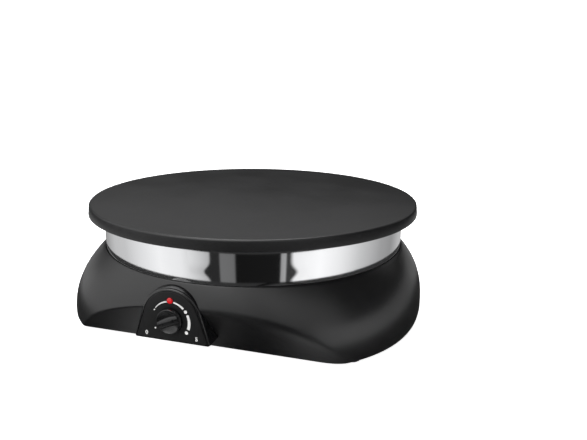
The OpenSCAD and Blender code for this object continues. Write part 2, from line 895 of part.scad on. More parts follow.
module dial_numbers() {
    low = scale_r * cos(off_angle) - 1.8 * figure_h;
    aside = scale_r * sin(full_angle) + 2.6 * figure_h;
    color("#b9b9b9") forwards(-panel_y, print_t) {
        translate([-aside, low]) figure_zero(figure_h);
        translate([aside, low]) figure_five(figure_h);
    }
}

// Bar across the knob's face, along its pointing line
module grip_shape() {
    rotate(-knob_angle) intersection() {
        circle(knob_rim_r - grip_inset, $fn = 96);
        square([grip_w, 2 * knob_rim_r], center = true);
    }
}

module control_knob() {
    back = -panel_y - knob_gap;
    rim = back - skirt_h;
    color("#18181a") difference() {
        union() {
            at_dial() translate([0, rim, 0]) rotate([-90, 0, 0])
                cylinder(r1 = knob_rim_r, r2 = knob_r, h = skirt_h, $fn = 96);
            at_dial() rod_y(hub_r, back - eps, back + hub_len);
            forwards(rim + eps, grip_h + eps) grip_shape();
        }
        forwards(rim + core_drop, core_drop + 1) difference() {
            circle(knob_rim_r - dish_wall, $fn = 96);
            grip_shape();
        }
        forwards(rim + dish_h, dish_h + 1) difference() {
            circle(knob_rim_r - dish_wall, $fn = 96);
            grip_shape();
            circle(core_r);
        }
        forwards(back + hub_len + 1, hub_len + spindle_in_knob + fit + 1) rotate(-knob_angle) intersection() {
            circle(spindle_r + run_fit);
            translate([-2 * spindle_r, -2 * spindle_r])
                square([4 * spindle_r, 2 * spindle_r + flat_at + spring_t + run_fit]);
        }
    }
}

module knob_spring() {
    start = -panel_y - knob_gap + hub_len - spring_gap;
    color("#b4b6b8") forwards(start, hub_len + spindle_in_knob - fit - spring_gap) rotate(-knob_angle)
        translate([-spring_w / 2, flat_at]) square([spring_w, spring_t]);
}

module thermostat_spindle() {
    back = -panel_y - knob_gap;
    collar_y = stat_y + bush_flange_t + collar_play;
    color("#a8acb0") difference() {
        at_dial() {
            rod_y(spindle_r, back - spindle_in_knob, collar_y + eps);
            rod_y(collar_r, collar_y, collar_y + collar_h);
            rod_y(nose_r, collar_y + collar_h - eps, plunger_front + nose_bore - nose_gap);
        }
        forwards(back + hub_len, hub_len + spindle_in_knob + 1) rotate(-knob_angle)
            translate([-2 * spindle_r, flat_at]) square([4 * spindle_r, spindle_r]);
    }
}

module plunger_shape(grow = 0) {
    square(plunger_w + 2 * grow, center = true);
}

module thermostat_plunger() {
    color("#c9b37a") difference() {
        forwards(plunger_y + plunger_len, plunger_len) plunger_shape();
        at_dial() rod_y(nose_r + nose_play, plunger_y - 1, plunger_y + nose_bore);
    }
}

module thermostat_body() {
    color("#6a4f3a") difference() {
        at_dial() translate([-stat_w / 2, stat_y, -stat_h / 2]) cube([stat_w, stat_d, stat_h]);
        at_dial() rod_y(bush_flange_r + thread_fit, stat_y - 1, channel_y);
        forwards(cap_y + 1, cap_y - channel_y + 2) plunger_shape(slide_fit);
    }
}

module thermostat_cap() {
    color("#8d8f92") at_dial() translate([-stat_w / 2, cap_y, -stat_h / 2]) cube([stat_w, cap_t, stat_h]);
}

module thermostat_tabs() {
    color("#c9b37a") at_dial() for (s = [-1, 1])
        translate([s * stat_tab_x - tab_w / 2, cap_back, -tab_t / 2]) cube([tab_w, tab_len, tab_t]);
}

module thermostat_bush() {
    color("#c2a45c") at_dial() difference() {
        union() {
            rod_y(bush_flange_r, stat_y, stat_y + bush_flange_t);
            rod_y(bush_r, stat_y - bush_len, stat_y + eps);
        }
        rod_y(spindle_r + run_fit, stat_y - bush_len - 1, stat_y + bush_flange_t + 1);
    }
}

module bush_nut() {
    color("#b0b0ac") at_dial() difference() {
        translate([0, -hood_y, 0]) rotate([90, 0, 0]) hex(bush_nut_af, 0, bush_nut_t);
        rod_y(bush_r + thread_fit, -hood_y - bush_nut_t - 1, -hood_y + 1);
    }
}

module bracket_screw_places() {
    at_dial() {
        for (s = [-1, 1]) translate([s * panel_boss[0], -hood_y, panel_boss[1]]) children();
        for (s = [-1, 1]) translate([s * housing_post_x, -hood_y, 0]) children();
    }
}

module thermostat_bracket() {
    color("#9fa1a3") difference() {
        at_dial() translate([-bracket_half, -hood_y, -bracket_h / 2 - bracket_drop])
            cube([2 * bracket_half, bracket_t, bracket_h]);
        at_dial() rod_y(bush_r + slide_fit, -hood_y - 1, -hood_y + bracket_t + 1);
        bracket_screw_places() rod_y(small_r + fit, -1, bracket_t + 1);
    }
}

module bracket_screws() {
    color("#b0b0ac") bracket_screw_places() {
        rod_y(small_head_r, bracket_t, bracket_t + small_head_h);
        rod_y(small_r, -small_thread, bracket_t + eps);
    }
}

module at_lamp() {
    at_dial() translate([0, 0, lamp_rise]) children();
}

module lamp_lens() {
    inside = -panel_y + face_t;
    color("#b3261e") at_lamp() difference() {
        union() {
            rod_y(lamp_r, -panel_y - lamp_out, inside + eps);
            rod_y(lamp_flange_r, inside, inside + lamp_flange_t);
            rod_y(lamp_skirt_r, inside + lamp_flange_t - eps, inside + lamp_skirt_len);
        }
        rod_y(lamp_glass_r + lamp_glass_gap, inside - 1, inside + lamp_skirt_len + 1);
    }
}

module pilot_lamp() {
    inside = -panel_y + face_t;
    color("#e8b48c") at_lamp() {
        rod_y(lamp_glass_r, inside + lamp_flange_t, inside + lamp_glass_len);
        translate([0, inside + lamp_flange_t, 0]) sphere(lamp_glass_r);
    }
}

module lamp_holder() {
    inside = -panel_y + face_t;
    color("#e6e2d8") at_lamp() difference() {
        rod_y(lamp_holder_r, inside + lamp_flange_t, inside + lamp_back - face_t);
        rod_y(lamp_skirt_r + run_fit, inside, inside + lamp_skirt_len + fit);
        rod_y(lamp_glass_r + lamp_glass_gap, inside, inside + lamp_glass_len);
        for (s = [-1, 1]) translate([s * lamp_glass_r / 2, 0, 0])
            rod_y(lamp_wire_r, inside, inside + lamp_back);
    }
}

// ---- electrics ----

module thermal_fuse() {
    color("#d8d2c4") translate([fuse_x, fuse_y, fuse_z]) rod_y(fuse_r, -fuse_len / 2, fuse_len / 2);
}

module fuse_clip() {
    color("#ece8de") difference() {
        translate([fuse_x - clip_w / 2, fuse_y - clip_len / 2, fuse_z - fuse_r - clip_wall])
            cube([clip_w, clip_len, 2 * (fuse_r + clip_wall)]);
        translate([fuse_x, fuse_y, fuse_z]) rod_y(fuse_r, -clip_len, clip_len);
    }
}

module terminal_block() {
    color("#e9e4d6") difference() {
        translate([-block_w / 2, block_y, block_z]) cube([block_w, block_d, block_h]);
        for (i = [-1:1]) translate([i * block_way, 0, 0]) {
            translate([0, 0, way_z]) rod_y(way_r, block_y - 1, block_y + block_d + 1);
            translate([0, block_y + block_d / 2, 0]) rod(way_r, way_z, block_z + block_h + 1);
        }
        block_screw_places() rod(small_r + thread_fit, block_z - 1, block_z + block_h + 1);
    }
}

module block_screws() {
    color("#b0b0ac") block_screw_places() {
        rod(small_head_r, block_z + block_h, block_z + block_h + small_head_h);
        rod(small_r, floor_z, block_z + block_h + eps);
    }
}

function way_at(i) = [i * block_way, block_y, way_z];

function leg_end(side) =
    let (az = 180 + side * leg_az)
    concat(polar(az, loop_r) - side * bend_r * [cos(az), sin(az)], leg_z - tab_len - fit);

function stat_tab(side) = [dial_x + side * stat_tab_x, cap_back + tab_len, dial_z];

module live_wire() {
    pull = [0, -lead_pull, 0];
    color("#7a4a22") sweep(curve(way_at(-1), pull, stat_tab(1), pull, 16), wire_r);
}

module neutral_wire() {
    color("#2f5f9e") sweep(curve(way_at(1), [0, -22, 0], leg_end(-1), [0, 0, 16], 12), wire_r);
}

module earth_wire() {
    finish = concat(earth_at + [0, tag_r - 1], shield_z - tag_t / 2);
    color("#5c8a3a") {
        sweep(curve(way_at(0), [0, -30, 0], finish - [0, 0, wire_r - tag_t / 2], [0, -14, 0], 12), wire_r);
        translate(earth_at) difference() {
            rod(tag_r, shield_z - tag_t, shield_z);
            rod(earth_r + thread_fit, shield_z - tag_t - 1, shield_z + 1);
        }
    }
}

module switched_wire() {
    fuse_front = [fuse_x, fuse_y - fuse_len / 2, fuse_z];
    fuse_rear = [fuse_x, fuse_y + fuse_len / 2, fuse_z];
    color("#8c2f2a") {
        sweep(curve(stat_tab(-1), [0, 40, 0], fuse_front, [0, 40, 0], 16), wire_r);
        sweep(curve(fuse_rear, [0, 22, 0], leg_end(1), [0, 0, 22], 12), wire_r);
    }
}

module lamp_wires() {
    leave = [dial_x, -panel_y + lamp_back, dial_z + lamp_rise];
    side = [lamp_glass_r / 2, 0, 0];
    on_tab = [0, -0.4 * tab_len, lamp_wire_r + tab_t / 2 + slide_fit];
    on_block = way_at(1) + [0, 0, block_h / 2];
    color("#d9d5cb") {
        sweep(curve(leave + side, [0, 90, 0], on_block, [0, lead_pull, -lead_dip], 18), lamp_wire_r);
        sweep(curve(leave - side, [0, 30, 0], stat_tab(-1) + on_tab, [0, -10, -14], 12), lamp_wire_r);
    }
}

module cord_gland() {
    color("#1b1b1c") translate([0, 0, gland_z]) difference() {
        union() {
            rod_y(gland_r, gland_end, gland_y + eps);
            rod_y(gland_flange_r, gland_y, gland_y + gland_flange_t);
            rod_y(gland_sleeve_r, gland_y + gland_flange_t - eps, gland_y + gland_reach);
        }
        rod_y(cord_hole_r, gland_end - 1, gland_y + gland_reach + 1);
    }
}

module gland_nut() {
    y = gland_y - gland_pad_t - gland_nut_t;
    color("#2a2a2b") translate([0, 0, gland_z]) difference() {
        translate([0, y, 0]) rotate([-90, 0, 0]) hex(gland_nut_af, 0, gland_nut_t);
        rod_y(gland_r + thread_fit, y - 1, y + gland_nut_t + 1);
    }
}

griddle_plate();
plate_studs();
spacer_tubes();
stud_nuts();
heating_element();
element_tabs();
element_straps();
bulb_clip();
strap_screws();
sensor_bulb();
capillary_tube();
ring_gasket();
steel_ring();
heat_shield();
clinch_nuts();
earth_nut();
housing();
bottom_cover();
cover_screws();
shield_screws();
rubber_feet();
control_panel();
dial_scale();
dial_numbers();
control_knob();
knob_spring();
thermostat_spindle();
thermostat_plunger();
thermostat_body();
thermostat_cap();
thermostat_tabs();
thermostat_bush();
bush_nut();
thermostat_bracket();
bracket_screws();
lamp_lens();
pilot_lamp();
lamp_holder();
thermal_fuse();
fuse_clip();
terminal_block();
block_screws();
live_wire();
neutral_wire();
earth_wire();
switched_wire();
lamp_wires();
cord_gland();
gland_nut();
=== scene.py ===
import math
import bmesh
import bpy
from mathutils import Matrix, Vector


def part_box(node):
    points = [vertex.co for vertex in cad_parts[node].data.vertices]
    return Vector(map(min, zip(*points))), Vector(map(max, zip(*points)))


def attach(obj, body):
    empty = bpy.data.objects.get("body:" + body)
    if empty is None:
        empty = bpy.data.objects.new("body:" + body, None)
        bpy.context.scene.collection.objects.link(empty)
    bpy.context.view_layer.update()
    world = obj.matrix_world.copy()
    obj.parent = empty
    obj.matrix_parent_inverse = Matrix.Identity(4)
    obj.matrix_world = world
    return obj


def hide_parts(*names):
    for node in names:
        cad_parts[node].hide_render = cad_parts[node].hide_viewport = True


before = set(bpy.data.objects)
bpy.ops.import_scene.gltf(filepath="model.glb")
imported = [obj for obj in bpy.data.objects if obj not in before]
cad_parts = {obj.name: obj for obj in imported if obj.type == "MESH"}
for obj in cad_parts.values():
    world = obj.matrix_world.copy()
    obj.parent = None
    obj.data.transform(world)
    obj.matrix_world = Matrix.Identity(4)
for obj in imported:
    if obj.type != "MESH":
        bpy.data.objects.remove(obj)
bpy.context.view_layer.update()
print("frame: " + str(len(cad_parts)) + " nodes")

# Sizes below are in millimetres, and azimuths in degrees from the front towards +X
metre = 0.001


def boxOf(node):
    # lowest and highest corner of a CAD node, in millimetres
    low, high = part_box(node)
    return low / metre, high / metre


# ---- mesh helpers ----

def polar(azimuth, radius, height=0.0):
    angle = math.radians(azimuth)
    return Vector((radius * math.sin(angle), -radius * math.cos(angle), height))


def rotation(degrees, axis):
    return Matrix.Rotation(math.radians(degrees), 4, axis)


def roundOutline(corners, steps):
    # closed outline of (x, y, radius) corners, each corner turned into an arc
    points = []
    for i, (x, y, radius) in enumerate(corners):
        corner = Vector((x, y))
        if radius == 0:
            points.append(corner)
            continue
        before = (Vector(corners[i - 1][:2]) - corner).normalized()
        after = (Vector(corners[(i + 1) % len(corners)][:2]) - corner).normalized()
        half = before.angle(after) / 2
        centre = corner + (before + after).normalized() * (radius / math.sin(half))
        start = corner + before * (radius / math.tan(half)) - centre
        end = corner + after * (radius / math.tan(half)) - centre
        turn = math.pi - 2 * half
        for k in range(steps + 1):
            part = k / steps
            blend = start * math.sin((1 - part) * turn) + end * math.sin(part * turn)
            points.append(centre + blend / math.sin(turn))
    return points


def bandFaces(bands, columns, count):
    # quads of that many bands between columns of points that each close on themselves
    faces = []
    for k in range(bands):
        here = k * count
        there = (k + 1) % columns * count
        for i in range(count):
            j = (i + 1) % count
            faces.append((here + i, there + i, there + j, here + j))
    return faces


def lathe(outline, segments, sweep=360.0, first=0.0):
    # closed outline of (radius, height) turned about Z
    whole = sweep >= 360
    rings = segments if whole else segments + 1
    vertices = []
    for k in range(rings):
        azimuth = first + sweep * k / segments
        vertices += [polar(azimuth, radius, height) for radius, height in outline]
    count = len(outline)
    faces = bandFaces(segments, rings, count)
    if not whole:
        faces.append(tuple(range(count)))
        faces.append(tuple(range(segments * count, rings * count)))
    return vertices, faces


def stack(loops, closeEnds=True):
    # loops of points with equal counts, joined one to the next
    vertices = [Vector(point) for loop in loops for point in loop]
    count = len(loops[0])
    faces = []
    for k in range(len(loops) - 1):
        for i in range(count):
            j = (i + 1) % count
            faces.append((k * count + i, k * count + j, (k + 1) * count + j, (k + 1) * count + i))
    if closeEnds:
        faces.append(tuple(range(count)))
        faces.append(tuple(range((len(loops) - 1) * count, len(loops) * count)))
    return vertices, faces


def moved(shell, matrix):
    vertices, faces = shell
    return [matrix @ Vector(vertex) for vertex in vertices], faces


def rod(radius, low, high, chamfer=0.0, segments=48, steps=4):
    outline = [(0, low, 0), (radius, low, chamfer), (radius, high, chamfer), (0, high, 0)]
    return lathe(roundOutline(outline, steps), segments)


# Distances in millimetres within which two points are merged, and an edge is dropped
samePoint = 0.0005
noEdge = 0.0002


def smoothed(mesh, sharpAngle):
    mesh.shade_smooth()
    mesh.set_sharp_from_angle(angle=math.radians(sharpAngle))


def tidyMesh(mesh, sharpAngle):
    shape = bmesh.new()
    shape.from_mesh(mesh)
    bmesh.ops.remove_doubles(shape, verts=shape.verts, dist=samePoint * metre)
    bmesh.ops.dissolve_degenerate(shape, edges=shape.edges, dist=noEdge * metre)
    bmesh.ops.recalc_face_normals(shape, faces=shape.faces)
    shape.to_mesh(mesh)
    shape.free()
    smoothed(mesh, sharpAngle)


def addObject(name, data):
    added = bpy.data.objects.new(name, data)
    bpy.context.scene.collection.objects.link(added)
    return added


def makePiece(name, shells, materials, sharpAngle=30):
    # shells are (vertices, faces) in millimetres
    vertices = []
    faces = []
    for shellVertices, shellFaces in shells:
        start = len(vertices)
        vertices += [Vector(vertex) * metre for vertex in shellVertices]
        faces += [tuple(start + i for i in face) for face in shellFaces]
    mesh = bpy.data.meshes.new(name)
    mesh.from_pydata(vertices, [], faces)
    for material in materials:
        mesh.materials.append(material)
    tidyMesh(mesh, sharpAngle)
    return addObject(name, mesh)


def finalMesh(holder):
    # mesh of an object as it stands, with its modifiers worked in
    bpy.context.view_layer.update()
    graph = bpy.context.evaluated_depsgraph_get()
    return bpy.data.meshes.new_from_object(holder.evaluated_get(graph))


def worked(piece, operation, shells, sharpAngle):
    # joins closed shells to a piece with UNION, or takes them out of it with DIFFERENCE
    for i, shell in enumerate(shells):
        tool = makePiece(piece.name + "_tool" + str(i), [shell], [])
        work = piece.modifiers.new("work", "BOOLEAN")
        work.operation = operation
        work.solver = "EXACT"
        work.object = tool
        mesh = finalMesh(piece)
        piece.modifiers.clear()
        piece.data = mesh
        bpy.data.objects.remove(tool)
    tidyMesh(piece.data, sharpAngle)


def settle(piece, body, slotName, *nodes):
    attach(piece, body)
    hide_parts(*nodes)


# ---- material helpers ----

def linear(hexColour):
    # sRGB hex to linear light
    shares = [int(hexColour[i:i + 2], 16) / 255 for i in (1, 3, 5)]
    return [s / 12.92 if s <= 0.04045 else ((s + 0.055) / 1.055) ** 2.4 for s in shares] + [1.0]


def perMillimetre(size):
    # noise scale at which a feature is that many millimetres across
    return 1 / (size * metre)


def addNode(tree, kind, settings=None, links=None):
    node = tree.nodes.new(kind)
    for key, value in (settings or {}).items():
        if isinstance(key, str) and hasattr(node, key):
            setattr(node, key, value)
        else:
            node.inputs[key].default_value = value
    for key, (source, output) in (links or {}).items():
        tree.links.new(source.outputs[output], node.inputs[key])
    return node


def startMaterial(name):
    material = bpy.data.materials.new(name)
    material.use_nodes = True
    material.node_tree.nodes.clear()
    return material, material.node_tree


def finishMaterial(material, shader, output="BSDF"):
    addNode(material.node_tree, "ShaderNodeOutputMaterial", {}, {"Surface": (shader, output)})
    material.diffuse_color = (0.5, 0.5, 0.5, 1)
    return material


def noise(tree, size, detail, place, output="Object"):
    return addNode(tree, "ShaderNodeTexNoise", {"Scale": perMillimetre(size), "Detail": detail},
                   {"Vector": (place, output)})


def mixedColour(tree, look, share, output):
    # sockets 6 and 7 are the mix node's colour inputs, and its colour output is 2
    return addNode(tree, "ShaderNodeMix",
                   {"data_type": "RGBA", 6: linear(look["colours"][0]), 7: linear(look["colours"][1])},
                   {0: (share, output)})


def mixedRoughness(tree, look, share, output):
    return addNode(tree, "ShaderNodeMapRange",
                   {"To Min": look["roughness"][0], "To Max": look["roughness"][1]},
                   {"Value": (share, output)})


def bumped(tree, depth, height, under=None):
    # bump of that depth in millimetres, laid over another one if there is one
    links = {"Height": (height, "Fac")}
    if under:
        links["Normal"] = (under, "Normal")
    return addNode(tree, "ShaderNodeBump", {"Strength": 1.0, "Distance": depth * metre}, links)


def finishSurface(material, settings, colour, roughness, bump):
    shader = addNode(material.node_tree, "ShaderNodeBsdfPrincipled", settings,
                     {"Base Color": (colour, 2), "Roughness": (roughness, "Result"),
                      "Normal": (bump, "Normal")})
    return finishMaterial(material, shader)


# Noise values between which the patches and the flecks go from none to full
patchContrast = (0.35, 0.65)
fleckContrast = (0.3, 0.7)


def patchyGrain(name, look):
    # two colours in soft patches, roughness that follows them, and a fine bump
    material, tree = startMaterial(name)
    place = addNode(tree, "ShaderNodeTexCoord")
    stretched = addNode(tree, "ShaderNodeMapping", {"Scale": look.get("stretch", (1, 1, 1))},
                        {"Vector": (place, "Object")})
    patches = noise(tree, look["patchSize"], 3, place)
    grain = noise(tree, look["grainSize"], 2, stretched, "Vector")
    shade = addNode(tree, "ShaderNodeMapRange",
                    {"From Min": patchContrast[0], "From Max": patchContrast[1]},
                    {"Value": (patches, "Fac")})
    fleck = addNode(tree, "ShaderNodeMapRange",
                    {"From Min": fleckContrast[0], "From Max": fleckContrast[1],
                     "To Max": look.get("fleck", 0.25)},
                    {"Value": (grain, "Fac")})
    share = addNode(tree, "ShaderNodeMath", {"operation": "ADD", "use_clamp": True},
                    {0: (shade, "Result"), 1: (fleck, "Result")})
    colour = mixedColour(tree, look, share, "Value")
    roughness = mixedRoughness(tree, look, share, "Value")
    return finishSurface(material, look["shader"], colour, roughness, bumped(tree, look["depth"], grain))


# Cast aluminium with a sprayed non-stick coat: dark satin, with the faint pebble of the spray
coatedAluminium = patchyGrain("coatedCastAluminium", {
    "colours": ("#101011", "#151516"), "patchSize": 60, "fleck": 0.35,
    "grainSize": 1.4,  # the pebble is 0.3 mm across, drawn coarser so that it shows
    "depth": 0.012, "roughness": (0.31, 0.37), "shader": {"IOR": 1.45}})

# Injection-moulded ABS from a polished tool: near black, with a soft shine and slight orange peel
polishedAbs = patchyGrain("polishedMouldedAbs", {
    "colours": ("#0e0e0f", "#121213"), "patchSize": 45, "grainSize": 6.0, "depth": 0.006,
    "roughness": (0.30, 0.36), "shader": {"IOR": 1.53}})

# The same ABS from a smoother tool: the hood and the knob have tighter highlights
glossAbs = patchyGrain("glossMouldedAbs", {
    "colours": ("#0d0d0e", "#101011"), "patchSize": 20, "grainSize": 4.0, "depth": 0.004,
    "roughness": (0.20, 0.26), "shader": {"IOR": 1.53}})

# ABS from a spark-eroded tool: an even matt grain whose pits swallow part of the shine on the face
sparkErodedAbs = patchyGrain("sparkErodedAbs", {
    "colours": ("#080808", "#0e0e0f"), "patchSize": 25, "fleck": 0.6,
    "grainSize": 0.9,  # the real grain is 0.15 mm, drawn coarser so that it shows
    "depth": 0.02, "roughness": (0.5, 0.6), "shader": {"IOR": 1.53, "Specular IOR Level": 0.3}})

# Polypropylene with a coarse tool grain: the cover underneath, matt and a little greyer
grainedPolypropylene = patchyGrain("grainedPolypropylene", {
    "colours": ("#19191a", "#202021"), "patchSize": 30, "grainSize": 1.0, "depth": 0.03,
    "roughness": (0.55, 0.65), "shader": {"IOR": 1.49}})

# Moulded nylon: the gland and its nut, slightly waxy
mouldedNylon = patchyGrain("mouldedNylon", {
    "colours": ("#111112", "#18181a"), "patchSize": 12, "grainSize": 1.5, "depth": 0.01,
    "roughness": (0.36, 0.46), "shader": {"IOR": 1.53}})

# Compression-moulded rubber: dark grey, dull, with dusty patches
mouldedRubber = patchyGrain("mouldedRubber", {
    "colours": ("#3a3a39", "#4d4d4b"), "patchSize": 5, "grainSize": 0.8, "depth": 0.03,
    "roughness": (0.75, 0.9), "shader": {"IOR": 1.52}})

# Screen-printed ink on the panel: light grey, flat, thinner where the mesh left pinholes
printedInk = patchyGrain("screenPrintedInk", {
    "colours": ("#cececd", "#bdbdbc"), "patchSize": 4,
    "grainSize": 0.7,  # pinholes are 0.1 mm, drawn coarser so that they show
    "depth": 0.01, "roughness": (0.5, 0.6), "shader": {"IOR": 1.5}})

# Pressed fibre gasket: dark, dry and loosely fibrous
fibreGasket = patchyGrain("pressedFibreGasket", {
    "colours": ("#2a2826", "#3a3734"), "patchSize": 6, "grainSize": 0.9, "stretch": (1, 1, 5),
    "depth": 0.05, "roughness": (0.85, 0.95), "shader": {"IOR": 1.45}})

# Steatite: unglazed electrical ceramic, warm white with a fine pressed grain
pressedSteatite = patchyGrain("pressedSteatite", {
    "colours": ("#e6e0d2", "#d8d0bf"), "patchSize": 7, "grainSize": 0.8, "depth": 0.02,
    "roughness": (0.5, 0.65), "shader": {"IOR": 1.6}})

# Moulded polyamide of the terminal block and the lamp's holder: off-white, slightly see-through
mouldedPolyamide = patchyGrain("mouldedPolyamide", {
    "colours": ("#e2dccd", "#d6cfbd"), "patchSize": 9, "grainSize": 1.2, "depth": 0.01,
    "roughness": (0.4, 0.5), "shader": {"IOR": 1.53, "Subsurface Weight": 0.15, "Subsurface Scale": 0.002}})

# Phenolic moulding of the thermostat: brown, with darker wood-flour specks
mouldedPhenolic = patchyGrain("mouldedPhenolic", {
    "colours": ("#3c2a1d", "#4d3726"), "patchSize": 4, "fleck": 0.8, "grainSize": 0.7,
    "depth": 0.01, "roughness": (0.35, 0.5), "shader": {"IOR": 1.6}})

# Zinc-plated steel: pale, slightly bluish, dulled by the barrel
zincPlatedSteel = patchyGrain("zincPlatedSteel", {
    "colours": ("#b9b9b6", "#a3a5a8"), "patchSize": 3, "grainSize": 0.5, "depth": 0.008,
    "roughness": (0.28, 0.42), "shader": {"Metallic": 1.0}})

# Heater tube after use: steel gone brown-grey with heat
heatDarkenedSteel = patchyGrain("heatDarkenedSteel", {
    "colours": ("#5b534c", "#3e3a38"), "patchSize": 14, "grainSize": 1.0, "depth": 0.02,
    "roughness": (0.45, 0.62), "shader": {"Metallic": 1.0}})

# Stamped brass: yellow with a drawn grain and a slight tarnish
stampedBrass = patchyGrain("stampedBrass", {
    "colours": ("#c7a95c", "#a98c48"), "patchSize": 5, "grainSize": 0.6, "stretch": (1, 6, 1),
    "depth": 0.006, "roughness": (0.25, 0.4), "shader": {"Metallic": 1.0}})

# Drawn copper tube: reddish, with long drawing marks
drawnCopper = patchyGrain("drawnCopper", {
    "colours": ("#c08457", "#9c6742"), "patchSize": 8, "grainSize": 0.8, "stretch": (6, 1, 6),
    "depth": 0.006, "roughness": (0.25, 0.4), "shader": {"Metallic": 1.0}})


def extrudedSleeve(name, *colours):
    # PVC wire sleeve: semi-gloss, with the faint waviness of the extruder
    return patchyGrain(name, {
        "colours": colours, "patchSize": 15, "grainSize": 1.5, "depth": 0.01, "roughness": (0.35, 0.45),
        "shader": {"IOR": 1.53}})


def galvanisedSheet(name, look):
    # zinc spangle: flat crystals of slightly different grey, each with its own shine
    material, tree = startMaterial(name)
    place = addNode(tree, "ShaderNodeTexCoord")
    crystals = addNode(tree, "ShaderNodeTexVoronoi", {"Scale": perMillimetre(look["spangle"])},
                       {"Vector": (place, "Object")})
    dull = noise(tree, look["patchSize"], 4, place)
    tone = addNode(tree, "ShaderNodeSeparateColor", {}, {"Color": (crystals, "Color")})
    colour = mixedColour(tree, look, tone, "Red")
    roughness = mixedRoughness(tree, look, tone, "Green")
    return finishSurface(material, look["shader"], colour, roughness, bumped(tree, look["depth"], dull))


galvanisedSteel = galvanisedSheet("galvanisedSteel", {
    "spangle": 7, "patchSize": 3, "colours": ("#b4b7ba", "#9da1a5"),
    "roughness": (0.3, 0.48), "depth": 0.01, "shader": {"Metallic": 1.0}})


def mirrorSteel(name, look):
    # polished stainless band: a mirror with faint rolling lines round it and a slight waviness of the sheet
    material, tree = startMaterial(name)
    place = addNode(tree, "ShaderNodeTexCoord")
    along = addNode(tree, "ShaderNodeMapping", {"Scale": (1, 1, look["lineStretch"])},
                    {"Vector": (place, "Object")})
    lines = noise(tree, look["lineLength"], 2, along, "Vector")
    waves = noise(tree, look["waveSize"], 1, place)
    smear = noise(tree, look["patchSize"], 3, place)
    colour = mixedColour(tree, look, smear, "Fac")
    roughness = mixedRoughness(tree, look, lines, "Fac")
    waving = bumped(tree, look["waveDepth"], waves)
    lining = bumped(tree, look["lineDepth"], lines, waving)
    return finishSurface(material, look["shader"], colour, roughness, lining)


polishedStainless = mirrorSteel("polishedStainless", {
    "colours": ("#e2e2e3", "#d6d7d9"), "patchSize": 50, "lineLength": 30, "lineStretch": 20,
    "lineDepth": 0.001, "waveSize": 45, "waveDepth": 0.02, "roughness": (0.04, 0.09),
    "shader": {"Metallic": 1.0}})


def litLens(name, look):
    # moulded or drawn piece that glows softly with the small lamp
    material, tree = startMaterial(name)
    place = addNode(tree, "ShaderNodeTexCoord")
    ripple = noise(tree, look["grainSize"], 1, place)
    colour = mixedColour(tree, look, ripple, "Fac")
    bump = bumped(tree, look["depth"], ripple)
    shader = addNode(tree, "ShaderNodeBsdfPrincipled",
                     {"Roughness": look["roughness"], "IOR": look["index"],
                      "Transmission Weight": look["clear"], "Emission Strength": look["glow"],
                      "Emission Color": linear(look["glowColour"])},
                     {"Base Color": (colour, 2), "Normal": (bump, "Normal")})
    return finishMaterial(material, shader)


redPolycarbonate = litLens("mouldedRedPolycarbonate", {
    "colours": ("#a80d14", "#8e0a10"), "grainSize": 1.2, "depth": 0.02, "roughness": 0.15,
    "index": 1.585, "clear": 0.1, "glowColour": "#d0101a", "glow": 0.3})

lampGlass = litLens("drawnLampGlass", {
    "colours": ("#f3dccb", "#e9c4a6"), "grainSize": 1.5, "depth": 0.01, "roughness": 0.05,
    "index": 1.585, "clear": 0.7, "glowColour": "#ff9a5a", "glow": 0.4})

print("materials: made")

# ---- carried-over CAD nodes ----

nodeFinishes = (
    (zincPlatedSteel, ("plate_studs", "stud_nuts", "strap_screws", "clinch_nuts", "cover_screws",
                       "shield_screws", "thermostat_spindle", "bush_nut", "bracket_screws",
                       "block_screws")),
    (galvanisedSteel, ("spacer_tubes", "element_straps", "bulb_clip", "heat_shield", "knob_spring",
                       "thermostat_cap", "thermostat_bracket")),
    (heatDarkenedSteel, ("heating_element",)),
    (stampedBrass, ("element_tabs", "earth_nut", "thermostat_plunger", "thermostat_tabs",
                    "thermostat_bush")),
    (drawnCopper, ("sensor_bulb", "capillary_tube")),
    (fibreGasket, ("ring_gasket",)),
    (grainedPolypropylene, ("bottom_cover",)),
    (mouldedNylon, ("gland_nut",)),
    (mouldedPhenolic, ("thermostat_body",)),
    (lampGlass, ("pilot_lamp",)),
    (mouldedPolyamide, ("lamp_holder", "terminal_block")),
    (pressedSteatite, ("thermal_fuse", "fuse_clip")),
    (extrudedSleeve("brownPvcSleeve", "#5a3315", "#6b3f1c"), ("live_wire",)),
    (extrudedSleeve("bluePvcSleeve", "#1f4f96", "#295ca6"), ("neutral_wire",)),
    (extrudedSleeve("greenPvcSleeve", "#3f7d22", "#4c8c2b"), ("earth_wire",)),
    (extrudedSleeve("redPvcSleeve", "#8e1f1a", "#a02a22"), ("switched_wire",)),
    (extrudedSleeve("whitePvcSleeve", "#dcd8cd", "#cfcabd"), ("lamp_wires",)),
)
for finish, nodeNames in nodeFinishes:
    for nodeName in nodeNames:
        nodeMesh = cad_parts[nodeName].data
        nodeMesh.materials.clear()
        nodeMesh.materials.append(finish)

# ---- griddle plate ----

plate = {
    "discThickness": 6, "rimWidth": 8, "rimHeight": 10, "rimDraft": 1,
    "topEdge": 2.0, "lowerEdge": 0.8, "innerEdge": 1.5, "edgeSteps": 6, "segments": 288,
}


